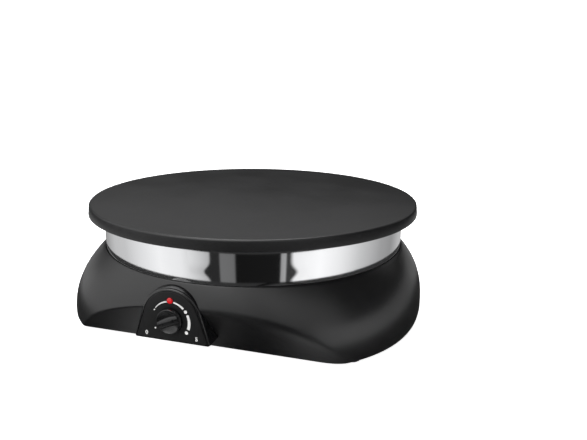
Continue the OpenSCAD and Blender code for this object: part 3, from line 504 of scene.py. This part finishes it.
def buildPlate():
    high = boxOf("griddle_plate")[1]
    outer = high.x
    top = high.z
    rimBottom = top - plate["rimHeight"]
    discBottom = top - plate["discThickness"]
    rimInner = outer - plate["rimDraft"] - plate["rimWidth"]
    outline = roundOutline([
        (0, top, 0), (outer - plate["rimDraft"], top, plate["topEdge"]),
        (outer, rimBottom, plate["lowerEdge"]), (rimInner, rimBottom, plate["lowerEdge"]),
        (rimInner, discBottom, plate["innerEdge"]), (0, discBottom, 0)], plate["edgeSteps"])
    piece = makePiece("griddlePlate", [lathe(outline, plate["segments"])], [coatedAluminium])
    settle(piece, "base", "coated_plate", "griddle_plate")


buildPlate()

# ---- polished ring ----

band = {
    "thickness": 0.8, "edge": 0.39, "edgeSteps": 4, "seamAzimuth": -50, "seamWidth": 0.5, "segments": 288,
}


def buildRing():
    low, high = boxOf("steel_ring")
    outer = high.x
    inner = outer - band["thickness"]
    gap = math.degrees(band["seamWidth"] / outer)
    outline = roundOutline([(outer, low.z, band["edge"]), (outer, high.z, band["edge"]),
                            (inner, high.z, band["edge"]), (inner, low.z, band["edge"])],
                           band["edgeSteps"])
    shell = lathe(outline, band["segments"], 360 - gap, band["seamAzimuth"] + gap / 2)
    piece = makePiece("steelRing", [shell], [polishedStainless])
    settle(piece, "base", "polished_steel", "steel_ring")
    return outer


ringRadius = buildRing()

# ---- casing ----

casing = {
    "lipWidth": 0.6, "ringFit": 0.3, "frontFlare": 16, "sideFlare": 22.6, "rearFlare": 8.8, "wall": 3,
    "cornerPower": 2.44, "frontShoulder": 1.9, "rearShoulder": 3.4,
    "facetCut": 32.4, "facetLean": 29.7, "lowerEdge": 2.4, "steepFoot": 4,
    "creaseSharp": 1.0, "creaseSoft": 9.0, "creaseFrom": -5, "creaseTo": 35, "leastCrease": 8,
    "leastAhead": 0.1, "halvings": 14,
    "azimuthStep": 0.75, "upperRows": 26, "creaseRows": 10, "creaseSpread": 5, "leastSpread": 0.5,
    "lowerRows": 8, "edgeAngles": (20, 40, 55, 70, 80, 90), "insideRows": 14,
    # (out from the lip's inner face, down from its top)
    "lipBead": ((0.02, 0.25), (0.1, 0.08), (0.3, 0.0), (0.5, 0.08), (0.58, 0.2)),
    "openingShort": 1, "openingReach": 20, "holeExtra": 4,
    "padRadius": 13, "padDepth": 8, "padOut": 1, "padHole": 6.3, "padEdge": 0.6, "padHoleEdge": 0.2,
    "padEdgeSteps": 4, "padSegments": 72, "sharpAngle": 40,
}
casingLow, casingHigh = boxOf("housing")
baseZ = casingLow.z
lipZ = casingHigh.z
lipInner = ringRadius + casing["ringFit"]
lipOuter = lipInner + casing["lipWidth"]
frontRadius = lipOuter + casing["frontFlare"]
sideRadius = lipOuter + casing["sideFlare"]
rearRadius = lipOuter + casing["rearFlare"]
facetFoot = frontRadius - casing["facetCut"]
facetSlope = math.tan(math.radians(casing["facetLean"]))


def planRadius(azimuth):
    # outline at the foot: a squarish oval in front, an ellipse behind
    ahead = math.cos(math.radians(azimuth))
    aside = math.sin(math.radians(azimuth))
    power = casing["cornerPower"] if ahead > 0 else 2
    depth = frontRadius if ahead > 0 else rearRadius
    return ((abs(ahead) / depth) ** power + (abs(aside) / sideRadius) ** power) ** (-1 / power)


def flareRadius(azimuth, z):
    front = (1 + math.cos(math.radians(azimuth))) / 2
    shoulder = casing["rearShoulder"] + (casing["frontShoulder"] - casing["rearShoulder"]) * front
    part = min(1, max(0, (lipZ - z) / (lipZ - baseZ - casing["steepFoot"])))
    return lipOuter + (planRadius(azimuth) - lipOuter) * (1 - (1 - part) ** shoulder)


def facetRadius(azimuth, z, inset=0.0):
    # where the flat front cuts that azimuth
    ahead = math.cos(math.radians(azimuth))
    depth = facetFoot + (z - baseZ) * facetSlope - inset
    return depth / ahead if ahead > casing["leastAhead"] else sideRadius / casing["leastAhead"]


def creaseWidth(azimuth):
    # sharp on the left of the panel, soft on the right
    reach = casing["creaseTo"] - casing["creaseFrom"]
    part = min(1, max(0, (azimuth - casing["creaseFrom"]) / reach))
    growth = casing["creaseSoft"] - casing["creaseSharp"]
    return casing["creaseSharp"] + growth * part * part * (3 - 2 * part)


def softLeast(a, b, width):
    near = max(width - abs(a - b), 0) / width
    return min(a, b) - near * near * width / 4


def outerRadius(azimuth, z):
    signed = (azimuth + 180) % 360 - 180
    smooth = softLeast(flareRadius(azimuth, z), facetRadius(azimuth, z), creaseWidth(signed))
    rise = max(0, casing["lowerEdge"] - (z - baseZ))
    return smooth - casing["lowerEdge"] + math.sqrt(casing["lowerEdge"] ** 2 - rise ** 2)


def innerRadius(azimuth, z):
    flare = max(lipInner, flareRadius(azimuth, z) - casing["wall"])
    lean = math.cos(math.radians(casing["facetLean"]))
    return min(flare, facetRadius(azimuth, z, casing["wall"] / lean))


def creaseHeight(azimuth):
    low = baseZ
    high = lipZ
    for halving in range(casing["halvings"]):
        middle = (low + high) / 2
        if flareRadius(azimuth, middle) > facetRadius(azimuth, middle):
            low = middle
        else:
            high = middle
    return max(baseZ + casing["leastCrease"], low)


def casingColumn(azimuth):
    # points of one azimuth, down the outside and up the inside
    crease = creaseHeight(azimuth)
    foot = baseZ + casing["lowerEdge"]
    lip = lipZ - casing["lipWidth"] / 2
    spread = min(casing["creaseSpread"], crease - foot - casing["leastSpread"])
    upper = [lip + (crease + spread - lip) * (i / casing["upperRows"]) for i in range(casing["upperRows"])]
    middle = [crease + spread * (1 - 2 * i / casing["creaseRows"]) for i in range(casing["creaseRows"])]
    lower = [crease - spread + (foot - crease + spread) * i / casing["lowerRows"]
             for i in range(casing["lowerRows"] + 1)]
    edge = [baseZ + casing["lowerEdge"] * (1 - math.sin(math.radians(a))) for a in casing["edgeAngles"]]
    column = [polar(azimuth, outerRadius(azimuth, z), z) for z in upper + middle + lower + edge]
    rows = casing["insideRows"]
    inside = [baseZ + (lipZ - casing["lipWidth"] - baseZ) * i / rows for i in range(rows + 1)]
    column += [polar(azimuth, innerRadius(azimuth, z), z) for z in inside]
    for out, drop in casing["lipBead"]:
        column.append(polar(azimuth, lipInner + out, lipZ - drop))
    return column


# The panel's sizes come before its section, because the casing is cut to its outline
panel = {
    "faceArch": 24.8, "hoodArch": 27.5, "drop": 19.1, "faceHalf": 32.8, "hoodHalf": 34.6,
    "cornerRadius": 0.8, "arcSteps": 60, "hoodDepth": 24, "hoodWall": 2.5, "faceThickness": 3,
    "footRise": 0.5,
    # (moved in from the face's outline, depth)
    "faceEdge": ((0.95, 0.0), (0.5, 0.06), (0.15, 0.3), (0.0, 0.7), (0.0, 1.1), (-0.4, 1.1), (-0.45, 0.45)),
    "rimStart": 0.55, "rimDepth": 2.6, "rimBack": 0.12, "rimAngles": (0, 12, 25, 38, 52, 65, 78, 90),
    "casingFit": 0.15, "ringClearance": 1.5, "ringDrop": 9.2, "ringRise": 20, "holeExtra": 2,
    "spindleHole": 4.95, "lampHole": 2.55, "lampRise": 17, "mattGrow": 0.1, "mattDepth": 1.15,
    "cornerSteps": 5, "segments": 192, "sharpAngle": 28,
}


def archLoop(arch, half, grow, below, depth):
    # arch over a flat foot, moved out by grow, its foot lowered by below, at that depth behind the face
    drop = panel["drop"] + below
    side = math.atan2(-panel["drop"], half) + math.acos(arch / math.hypot(half, panel["drop"]))
    radius = arch + grow
    corner = (radius + drop * math.sin(side)) / math.cos(side)
    turn = math.pi - 2 * side
    steps = panel["arcSteps"]
    arc = [(radius * math.cos(side + turn * i / steps), radius * math.sin(side + turn * i / steps), 0)
           for i in range(steps + 1)]
    edge = panel["cornerRadius"]
    outline = roundOutline([(corner, -drop, edge)] + arc + [(-corner, -drop, edge)], panel["cornerSteps"])
    return [Vector((point.x, point.y, -depth)) for point in outline]


panelFront = -boxOf("control_panel")[0].y
knobLow, knobHigh = boxOf("control_knob")
dialX = (knobLow.x + knobHigh.x) / 2
dialZ = (knobLow.z + knobHigh.z) / 2
# local X and Y lie on the panel's face, and local Z comes forwards out of it
onPanel = Matrix.Translation((dialX, -panelFront, dialZ)) @ rotation(90, "X")
glandLow, glandHigh = boxOf("cord_gland")
glandZ = (glandLow.z + glandHigh.z) / 2
# local Z goes backwards out of the casing along the cord's axis
alongCord = Matrix.Translation((0, 0, glandZ)) @ rotation(-90, "X")


def faceLoop(inset, depth):
    return archLoop(panel["faceArch"], panel["faceHalf"], -inset, -inset - panel["footRise"], depth)


def hoodLoop(inset, depth):
    return archLoop(panel["hoodArch"], panel["hoodHalf"], -inset, -inset, depth)


def buildCasing():
    step = casing["azimuthStep"]
    columns = [casingColumn(i * step) for i in range(round(360 / step))]
    faces = bandFaces(len(columns), len(columns), len(columns[0]))
    vertices = [point for column in columns for point in column]
    sharp = casing["sharpAngle"]
    piece = makePiece("casingShell", [(vertices, faces)], [polishedAbs], sharp)
    hood = panel["hoodDepth"]
    opening = stack([hoodLoop(-panel["casingFit"], hood - casing["openingShort"]),
                     hoodLoop(-panel["casingFit"], -casing["openingReach"])])
    padFace = rearRadius + casing["padOut"]
    padBack = padFace - casing["padDepth"]
    padHole = rod(casing["padHole"], padBack - casing["holeExtra"], padFace + casing["holeExtra"])
    worked(piece, "DIFFERENCE", [moved(opening, onPanel), moved(padHole, alongCord)], sharp)
    pad = roundOutline([
        (casing["padRadius"], padBack, 0), (casing["padRadius"], padFace, casing["padEdge"]),
        (casing["padHole"], padFace, casing["padHoleEdge"]), (casing["padHole"], padBack, 0)],
        casing["padEdgeSteps"])
    padShell = moved(lathe(pad, casing["padSegments"]), alongCord)
    addShells(piece, [padShell] + casingBosses(), sharp)
    settle(piece, "base", "casing_plastic", "housing")


bosses = {
    "azimuths": (65, 105, 160, 200, 255, 295), "inset": 10, "radius": 5, "bore": 2.05, "low": 7,
    "height": 23, "webHeight": 13, "webWidth": 2.5,
    "postX": 44, "postRadius": 5, "postBore": 1.55, "postDepth": 8, "postSink": 1, "segments": 40,
}


def casingBosses():
    # screw bosses inside the casing, each with its web, and the two posts of the bracket
    shells = []
    low = bosses["low"]
    top = low + bosses["height"]
    for azimuth in bosses["azimuths"]:
        reach = outerRadius(azimuth, low) - bosses["inset"]
        turned = Matrix.Translation(polar(azimuth, reach)) @ rotation(azimuth, "Z")
        tube = [(bosses["bore"], low), (bosses["radius"], low), (bosses["radius"], top),
                (bosses["bore"], top)]
        shells.append(moved(lathe(tube, bosses["segments"]), turned))
        half = bosses["webWidth"] / 2
        far = -bosses["inset"] + casing["wall"] / 2
        near = -bosses["radius"]
        web = [[(-half, far, z), (half, far, z), (half, near, z), (-half, near, z)]
               for z in (low, low + bosses["webHeight"])]
        shells.append(moved(stack(web), turned))
    hoodBack = panelFront - panel["hoodDepth"]
    boreEnd = hoodBack + bosses["postDepth"]
    front = facetFoot + (dialZ - bosses["postRadius"] - baseZ) * facetSlope - bosses["postSink"]
    for side in (-1, 1):
        place = Matrix.Translation((dialX + side * bosses["postX"], 0, dialZ)) @ rotation(90, "X")
        post = [(0, front), (bosses["postRadius"], front), (bosses["postRadius"], hoodBack),
                (bosses["postBore"], hoodBack), (bosses["postBore"], boreEnd), (0, boreEnd)]
        shells.append(moved(lathe(post, bosses["segments"]), place))
    return shells


def addShells(piece, shells, sharpAngle):
    # joins further closed shells to a finished piece
    extra = makePiece(piece.name + "_extra", shells, [], sharpAngle)
    shape = bmesh.new()
    shape.from_mesh(piece.data)
    shape.from_mesh(extra.data)
    shape.to_mesh(piece.data)
    shape.free()
    bpy.data.objects.remove(extra)
    smoothed(piece.data, sharpAngle)


buildCasing()
print("casing: built")

# ---- control panel ----


def isInside(point, outline):
    # whether a point lies inside a convex outline that runs anticlockwise
    for here, there in zip(outline, outline[1:] + outline[:1]):
        if (there.x - here.x) * (point.y - here.y) - (there.y - here.y) * (point.x - here.x) < 0:
            return False
    return True


def buildPanel():
    hood = panel["hoodDepth"]
    wall = panel["hoodWall"]
    loops = [faceLoop(inset, depth) for inset, depth in panel["faceEdge"]]
    inner = faceLoop(-panel["rimStart"], panel["rimBack"])
    outer = hoodLoop(0, panel["rimBack"])
    for angle in panel["rimAngles"]:
        out = math.sin(math.radians(angle))
        back = panel["rimDepth"] * (1 - math.cos(math.radians(angle)))
        loops.append([a.lerp(b, out) - Vector((0, 0, back)) for a, b in zip(inner, outer)])
    loops += [hoodLoop(0, hood / 2), hoodLoop(0, hood), hoodLoop(wall, hood),
              hoodLoop(wall, panel["faceThickness"])]
    piece = makePiece("controlPanel", [moved(stack(loops), onPanel)], [sparkErodedAbs, glossAbs])
    lampPlace = Matrix.Translation((0, panel["lampRise"], 0))
    extra = panel["holeExtra"]
    spindleHole = rod(panel["spindleHole"], -panel["faceThickness"] - extra, extra)
    lampHole = rod(panel["lampHole"], -panel["faceThickness"] - extra, extra)
    ringRoom = rod(ringRadius + panel["ringClearance"], lipZ - panel["ringDrop"],
                   lipZ + panel["ringRise"], segments=panel["segments"])
    holes = [moved(spindleHole, onPanel), moved(lampHole, onPanel @ lampPlace), ringRoom]
    worked(piece, "DIFFERENCE", holes, panel["sharpAngle"])
    inside = faceLoop(-panel["mattGrow"], 0)
    for polygon in piece.data.polygons:
        place = onPanel.inverted() @ (polygon.center / metre)
        matt = place.z > -panel["mattDepth"] and isInside(place, inside)
        polygon.material_index = 0 if matt else 1
    settle(piece, "base", "panel_plastic", "control_panel")


buildPanel()

# ---- printed scale and figures ----

scale = {
    "radius": 16.6, "drop": 0.6, "thickness": 0.1, "dotChamfer": 0.04, "dotSegments": 32,
    "figureHeight": 3.5, "figureAside": 22.7, "figureDrop": 14.2, "figureBolder": 0.12,
    "fontShare": 1.38,  # a font's size over the height of its figures
    "arcSteps": 24,
    # (from, to, width at its start, width at its end), clockwise from the top
    "arcs": ((-54, -10.5, 0.6, 1.3), (10.5, 45, 1.3, 1.8), (66, 111, 2.1, 2.6)),
    # (angle, radius)
    "dots": ((-120, 0.75), (-61, 0.6), (55.5, 1.45), (123, 1.5)),
}
onScale = onPanel @ Matrix.Translation((0, -scale["drop"], 0))


def printedArc(start, end, startWidth, endWidth):
    loops = []
    for i in range(scale["arcSteps"] + 1):
        part = i / scale["arcSteps"]
        angle = math.radians(start + (end - start) * part)
        half = (startWidth + (endWidth - startWidth) * part) / 2
        inside = scale["radius"] - half
        outside = scale["radius"] + half
        loops.append([(r * math.sin(angle), r * math.cos(angle), z) for r, z in (
            (inside, 0), (outside, 0), (outside, scale["thickness"]), (inside, scale["thickness"]))])
    return stack(loops)


def buildScale():
    shells = [printedArc(*arc) for arc in scale["arcs"]]
    for angle, radius in scale["dots"]:
        place = Matrix.Translation((scale["radius"] * math.sin(math.radians(angle)),
                                    scale["radius"] * math.cos(math.radians(angle)), 0))
        dot = rod(radius, 0, scale["thickness"], scale["dotChamfer"], scale["dotSegments"])
        shells.append(moved(dot, place))
    piece = makePiece("dialScale", [moved(shell, onScale) for shell in shells], [printedInk])
    settle(piece, "base", "print_grey", "dial_scale")


def buildFigures():
    # plain figures at the two ends of the scale
    meshes = []
    for text, side in (("0", -1), ("5", 1)):
        curve = bpy.data.curves.new("figure", "FONT")
        curve.body = text
        curve.align_x = "CENTER"
        curve.align_y = "CENTER"
        curve.size = scale["figureHeight"] * scale["fontShare"]
        curve.extrude = scale["thickness"] / 2
        curve.offset = scale["figureBolder"]
        letter = addObject("figure", curve)
        mesh = finalMesh(letter)
        place = onPanel @ Matrix.Translation((side * scale["figureAside"], -scale["figureDrop"],
                                              scale["thickness"] / 2))
        meshes.append(([place @ vertex.co for vertex in mesh.vertices],
                       [tuple(polygon.vertices) for polygon in mesh.polygons]))
        bpy.data.objects.remove(letter)
    piece = makePiece("dialFigures", meshes, [printedInk])
    settle(piece, "base", "print_grey", "dial_numbers")


buildScale()
buildFigures()

# ---- knob ----

knob = {
    "gap": 0.5, "rimHeight": 4.6, "baseRadius": 11.2, "rimRadius": 10.4, "rimWidth": 0.55,
    "baseEdge": 0.25, "rimEdge": 0.6, "dishDepth": 3.0, "dishPower": 2.4,
    "dishShares": (1.0, 0.96, 0.91, 0.85, 0.78, 0.7, 0.6, 0.5, 0.4, 0.25, 0.0),
    "hubRadius": 4.45, "hubLength": 4, "hubEdge": 0.4, "boreRadius": 3.05, "boreDepth": 3.2,
    "pointerAngle": 66, "reach": 10, "endSteps": 8, "sideSteps": 16, "cutExtra": 1,
    # (height above the panel, half width at the middle, half width at the ends)
    "gripLoops": ((1.6, 4.7, 3.4), (3.9, 4.1, 3.2), (4.7, 3.3, 2.95), (5.1, 2.7, 2.7), (5.35, 2.1, 2.2),
                  (5.55, 1.3, 1.4), (5.66, 0.5, 0.6)),
    "markFrom": 4.6, "markTo": 8.6, "markHalf": 1.4, "markFloor": 4.9, "markTop": 7.1,
    "edgeSteps": 5, "segments": 128, "sharpAngle": 32,
}


def gripLoop(height, middle, end):
    # bar along X, its ends on a circle about the knob's axis
    points = []
    reach = knob["reach"]
    turn = math.asin(end / reach)
    span = reach * math.cos(turn)
    for side in (1, -1):
        for i in range(knob["endSteps"] + 1):
            angle = turn * (2 * i / knob["endSteps"] - 1)
            points.append((side * reach * math.cos(angle), side * reach * math.sin(angle), height))
        for i in range(1, knob["sideSteps"]):
            along = span * (1 - 2 * i / knob["sideSteps"])
            half = middle + (end - middle) * (along / span) ** 2
            points.append((side * along, side * half, height))
    return points


def buildKnob():
    back = knob["gap"]
    front = back + knob["rimHeight"]
    hubBack = back - knob["hubLength"]
    dishRadius = knob["rimRadius"] - knob["rimWidth"]
    dish = [(dishRadius * share, front - knob["dishDepth"] * (1 - share ** knob["dishPower"]))
            for share in knob["dishShares"]]
    skirt = roundOutline([
        (0, hubBack, 0), (knob["hubRadius"], hubBack, knob["hubEdge"]), (knob["hubRadius"], back, 0),
        (knob["baseRadius"], back, knob["baseEdge"]), (knob["rimRadius"], front, knob["rimEdge"])],
        knob["edgeSteps"])
    grip = [gripLoop(*loop) for loop in knob["gripLoops"]]
    turned = onPanel @ rotation(90 - knob["pointerAngle"], "Z")
    dished = moved(lathe(skirt + dish, knob["segments"]), turned)
    sharp = knob["sharpAngle"]
    piece = makePiece("controlKnob", [dished], [glossAbs], sharp)
    worked(piece, "UNION", [moved(stack(grip), turned)], sharp)
    # shallow triangle that points outwards along the bar, and the bore for the spindle
    half = knob["markHalf"]
    mark = [[(knob["markTo"], 0, z), (knob["markFrom"], half, z), (knob["markFrom"], -half, z)]
            for z in (knob["markFloor"], knob["markTop"])]
    bore = rod(knob["boreRadius"], hubBack - knob["cutExtra"], back + knob["boreDepth"])
    worked(piece, "DIFFERENCE", [moved(stack(mark), turned), moved(bore, turned)], sharp)
    settle(piece, "knob", "knob_plastic", "control_knob")


buildKnob()

# ---- lamp lens ----

lens = {
    "radius": 2.5, "out": 0.55, "dome": 0.6, "flange": 3.6, "flangeThickness": 1.0, "skirt": 3.0,
    "skirtLength": 5.0, "bore": 2.1, "wall": 1.0, "domeStep": 9, "segments": 48,
}


def buildLens():
    inside = -panel["faceThickness"]
    angles = [math.radians(a) for a in range(90, -1, -lens["domeStep"])]
    dome = [(lens["radius"] * math.sin(a), lens["out"] + lens["dome"] * math.cos(a)) for a in angles]
    roof = inside + lens["wall"]
    skirtEnd = inside - lens["skirtLength"]
    flangeBack = inside - lens["flangeThickness"]
    outline = dome + [(0, roof), (lens["bore"], roof), (lens["bore"], skirtEnd), (lens["skirt"], skirtEnd),
                      (lens["skirt"], flangeBack), (lens["flange"], flangeBack),
                      (lens["flange"], inside), (lens["radius"], inside)]
    place = onPanel @ Matrix.Translation((0, panel["lampRise"], 0))
    shell = moved(lathe(outline, lens["segments"]), place)
    piece = makePiece("lampLens", [shell], [redPolycarbonate])
    settle(piece, "base", "lamp_red", "lamp_lens")


buildLens()

# ---- feet ----

feet = {
    "azimuths": (48, 132, 228, 312), "radius": 8, "top": 4, "margin": 1, "coverFit": 0.3, "edge": 0.9,
    "dish": 0.5, "dishRadius": 5, "dishEdge": 0.5, "dishSlope": 0.8, "soleEdge": 0.3, "taper": 0.3,
    "stem": 3, "stemTop": 7, "head": 4, "headTop": 9, "smallEdge": 0.2, "headEdge": 0.6,
    "edgeSteps": 4, "segments": 64,
}


def buildFeet():
    outline = roundOutline([
        (0, feet["dish"], 0), (feet["dishRadius"], feet["dish"], feet["dishEdge"]),
        (feet["dishRadius"] + feet["dishSlope"], 0, feet["soleEdge"]), (feet["radius"], 0, feet["edge"]),
        (feet["radius"] - feet["taper"], feet["top"], feet["smallEdge"]), (feet["stem"], feet["top"], 0),
        (feet["stem"], feet["stemTop"], 0), (feet["head"], feet["stemTop"], feet["smallEdge"]),
        (feet["head"], feet["headTop"], feet["headEdge"]), (0, feet["headTop"], 0)], feet["edgeSteps"])
    shells = []
    for azimuth in feet["azimuths"]:
        reach = innerRadius(azimuth, feet["top"]) - feet["coverFit"] - feet["radius"] - feet["margin"]
        foot = lathe(outline, feet["segments"])
        shells.append(moved(foot, Matrix.Translation(polar(azimuth, reach))))
    piece = makePiece("rubberFeet", shells, [mouldedRubber])
    settle(piece, "base", "foot_rubber", "rubber_feet")


buildFeet()

# ---- cord gland ----

gland = {
    "thread": 6, "inside": 15, "flange": 10, "flangeThickness": 3, "sleeve": 7.5, "bore": 3.6,
    "dome": 1.6, "threadEdge": 0.4, "flangeEdge": 0.8, "rootEdge": 0.3, "mouthEdge": 0.5,
    "edgeSteps": 6, "segments": 80,
}


def buildGland():
    padFace = rearRadius + casing["padOut"]
    flangeEnd = padFace + gland["flangeThickness"]
    end = glandHigh.y
    inner = padFace - gland["inside"]
    outline = roundOutline([
        (gland["thread"], inner, gland["threadEdge"]), (gland["thread"], padFace, 0),
        (gland["flange"], padFace, 0), (gland["flange"], flangeEnd, gland["flangeEdge"]),
        (gland["sleeve"], flangeEnd, gland["rootEdge"]), (gland["sleeve"], end, gland["dome"]),
        (gland["bore"], end, gland["mouthEdge"]), (gland["bore"], inner, gland["rootEdge"])],
        gland["edgeSteps"])
    shell = moved(lathe(outline, gland["segments"]), alongCord)
    piece = makePiece("cordGland", [shell], [mouldedNylon])
    settle(piece, "base", "cover_plastic", "cord_gland")


buildGland()
print("pieces: built")

# ---- camera ----

camera = {
    "place": (197.704, -552.165, 235.900), "heading": 15.802, "tilt": -14.672, "roll": 0.950,
    "lens": 35.09, "sensor": 36, "nearest": 10, "furthest": 50000,
}


def placeCamera():
    data = bpy.data.cameras.new("camera")
    data.lens = camera["lens"]
    data.sensor_width = camera["sensor"]
    data.clip_start = camera["nearest"] * metre
    data.clip_end = camera["furthest"] * metre
    holder = addObject("camera", data)
    turn = (rotation(camera["heading"], "Z") @ rotation(90 + camera["tilt"], "X")
            @ rotation(camera["roll"], "Z"))
    holder.matrix_world = Matrix.Translation(Vector(camera["place"]) * metre) @ turn
    bpy.context.scene.camera = holder


placeCamera()

# ---- studio ----

studio = {
    "floorRadius": 3000, "floorThickness": 1, "floorSegments": 96, "floorColour": "#fbfbfb",
    "floorGlow": 0.97, "paperRadius": 6000, "paperSegments": 48, "paperStep": 6, "paperGlow": 1.3,
    "paperRoughness": 0.9,
    # direction towards which the sky is palest, and the cosines between which it brightens
    "skyLean": (-0.54, -0.38, 0.75), "skyFrom": 0.35, "skyTo": 1.0, "skyDark": 0.04, "skyBright": 1.5,
}


def stageMaterial(name, colour, glow, diffuse):
    # studio paper: plain, even white
    material, tree = startMaterial(name)
    shader = addNode(tree, "ShaderNodeBsdfPrincipled",
                     {"Base Color": linear(colour if diffuse else "#000000"),
                      "Roughness": studio["paperRoughness"], "Specular IOR Level": 0.0,
                      "Emission Color": linear(colour), "Emission Strength": glow})
    return finishMaterial(material, shader)


def seenBy(holder, camera=False, diffuse=False, glossy=False, shadow=False):
    holder.visible_camera = camera
    holder.visible_diffuse = diffuse
    holder.visible_glossy = glossy
    holder.visible_transmission = camera
    holder.visible_volume_scatter = False
    holder.visible_shadow = shadow


def buildPaper():
    outline = [(0, 0), (studio["floorRadius"], 0), (0, -studio["floorThickness"])]
    disc = lathe(outline, studio["floorSegments"])
    floor = makePiece("floor", [disc],
                      [stageMaterial("floorPaper", studio["floorColour"], studio["floorGlow"], True)])
    seenBy(floor, camera=True, diffuse=True, shadow=True)
    reach = studio["paperRadius"]
    angles = [math.radians(a) for a in range(0, 181, studio["paperStep"])]
    dome = [(reach * math.sin(a), reach * math.cos(a)) for a in angles]
    paper = makePiece("backdrop", [lathe(dome, studio["paperSegments"])],
                      [stageMaterial("backdropPaper", "#ffffff", studio["paperGlow"], False)])
    seenBy(paper, camera=True)


def buildSky():
    # what the pieces mirror where no card or lamp stands: pale overhead, in front and on the left
    world = bpy.data.worlds.new("studioSky")
    world.use_nodes = True
    tree = world.node_tree
    tree.nodes.clear()
    place = addNode(tree, "ShaderNodeTexCoord")
    towards = addNode(tree, "ShaderNodeVectorMath", {"operation": "DOT_PRODUCT", 1: studio["skyLean"]},
                      {0: (place, "Generated")})
    fading = addNode(tree, "ShaderNodeMapRange",
                     {"interpolation_type": "SMOOTHSTEP",
                      "From Min": studio["skyFrom"], "From Max": studio["skyTo"],
                      "To Min": studio["skyDark"], "To Max": studio["skyBright"]},
                     {"Value": (towards, "Value")})
    light = addNode(tree, "ShaderNodeBackground", {"Color": (1, 1, 1, 1)}, {"Strength": (fading, "Result")})
    addNode(tree, "ShaderNodeOutputWorld", {}, {"Surface": (light, "Background")})
    bpy.context.scene.world = world


# Cards round the object that only mirrors see, like the black and white boards of a product studio
cards = {
    "radius": 262, "low": 12, "high": 71, "rows": 28, "azimuthStep": 0.5,
    # (azimuth, brightness), straight between neighbours
    "bands": ((-180, 0.25), (-165, 0.04), (-158, 0.04), (-157, 0.3), (-115, 0.25), (-105, 0.3),
              (-88, 0.46), (-75, 0.67), (-60, 0.74), (-46, 1.0), (-31, 1.22), (-18, 1.12), (-8, 0.75),
              (-4.6, 0.6), (-3.6, 0.03), (2.2, 0.03), (2.7, 0.21), (9.4, 0.19), (10.4, 0.01),
              (31.4, 0.012), (31.9, 0.42), (34, 0.48), (34.6, 0.05), (37.5, 0.05), (39.5, 1.15),
              (52, 1.34), (64, 1.12), (78, 0.75), (97, 0.46), (111, 0.37), (128, 0.58), (150, 0.5),
              (168, 0.5), (170, 0.06), (180, 0.25)),
    # edges that bulge, as (from, to, degrees)
    "wavyEdges": ((-14, -1, 3.2), (36, 46, -3.0)), "bulgeHeight": 31, "bulgeSize": 12,
}

# Pale cards on the table that lift the flat front beside the panel and the corner to its right
floorCards = {
    "height": 0.4, "rows": 12,
    # (name, place, reach, brightness in the middle)
    "cards": (("frontFloorCard", (-40, -152), 90, 0.7), ("cornerFloorCard", (112, -182), 75, 1.2)),
}

# Upright card behind the plate, which shows as a soft shine on the plate's front half
rearCard = {
    "corners": ((-600, 420, 255), (600, 420, 255), (600, 420, 620), (-600, 420, 620)), "bright": 0.38,
}


def cardLevel(azimuth, z):
    bulge = math.exp(-((z - cards["bulgeHeight"]) / cards["bulgeSize"]) ** 2)
    for start, end, reach in cards["wavyEdges"]:
        if start < azimuth < end:
            azimuth += reach * (bulge - 0.5)
    bands = cards["bands"]
    for (start, low), (end, high) in zip(bands, bands[1:]):
        if azimuth <= end:
            return low + (high - low) * max(0, azimuth - start) / (end - start)
    return bands[-1][1]


def makeCard(name, shell, levels):
    # glowing board that only mirrors see, with its own brightness at each point
    vertices, faces = shell
    mesh = bpy.data.meshes.new(name)
    mesh.from_pydata([Vector(vertex) * metre for vertex in vertices], [], faces)
    mesh.attributes.new("level", "FLOAT", "POINT").data.foreach_set("value", levels)
    material, tree = startMaterial(name)
    level = addNode(tree, "ShaderNodeAttribute", {"attribute_name": "level"})
    glow = addNode(tree, "ShaderNodeEmission", {"Color": (1, 1, 1, 1)}, {"Strength": (level, "Fac")})
    finishMaterial(material, glow, "Emission")
    mesh.materials.append(material)
    card = addObject(name, mesh)
    seenBy(card, glossy=True)


def buildCards():
    steps = round(360 / cards["azimuthStep"])
    azimuths = [-180 + 360 * i / steps for i in range(steps)]
    heights = [cards["low"] + (cards["high"] - cards["low"]) * row / cards["rows"]
               for row in range(cards["rows"] + 1)]
    loops = [[polar(azimuth, cards["radius"], z) for azimuth in azimuths] for z in heights]
    levels = [cardLevel(azimuth, z) for z in heights for azimuth in azimuths]
    makeCard("reflectorRing", stack(loops, False), levels)
    for name, place, reach, bright in floorCards["cards"]:
        middle = Vector((*place, floorCards["height"]))
        shares = [i / floorCards["rows"] for i in range(1, floorCards["rows"] + 1)]
        loops = [[middle + polar(azimuth, reach * share) for azimuth in azimuths] for share in shares]
        fades = [bright * (1 - share) ** 2 for share in shares]
        makeCard(name, stack(loops, False), [fade for fade in fades for azimuth in azimuths])
    makeCard("rearCard", (rearCard["corners"], [(0, 1, 2, 3)]), [rearCard["bright"]] * 4)


# Soft boxes: (name, place, point aimed at, width, depth, watts)
softBoxes = (
    ("overheadSoftBox", (-100, 250, 1250), (0, 0, 60), 900, 900, 11),
    ("leftSoftBox", (-330, -740, 1000), (-60, -100, 40), 900, 900, 4.2),
    ("rightSoftBox", (600, -620, 460), (60, -60, 40), 700, 700, 1.0),
)


def buildLights():
    for name, place, target, width, depth, watts in softBoxes:
        data = bpy.data.lights.new(name, "AREA")
        data.shape = "RECTANGLE"
        data.size = width * metre
        data.size_y = depth * metre
        data.energy = watts
        lamp = addObject(name, data)
        lamp.location = Vector(place) * metre
        aim = (Vector(target) - Vector(place)).to_track_quat("-Z", "Y")
        lamp.rotation_euler = aim.to_euler()
        lamp.visible_camera = False


buildPaper()
buildSky()
buildCards()
buildLights()
bpy.context.scene.view_settings.view_transform = "Standard"
print("studio: built")
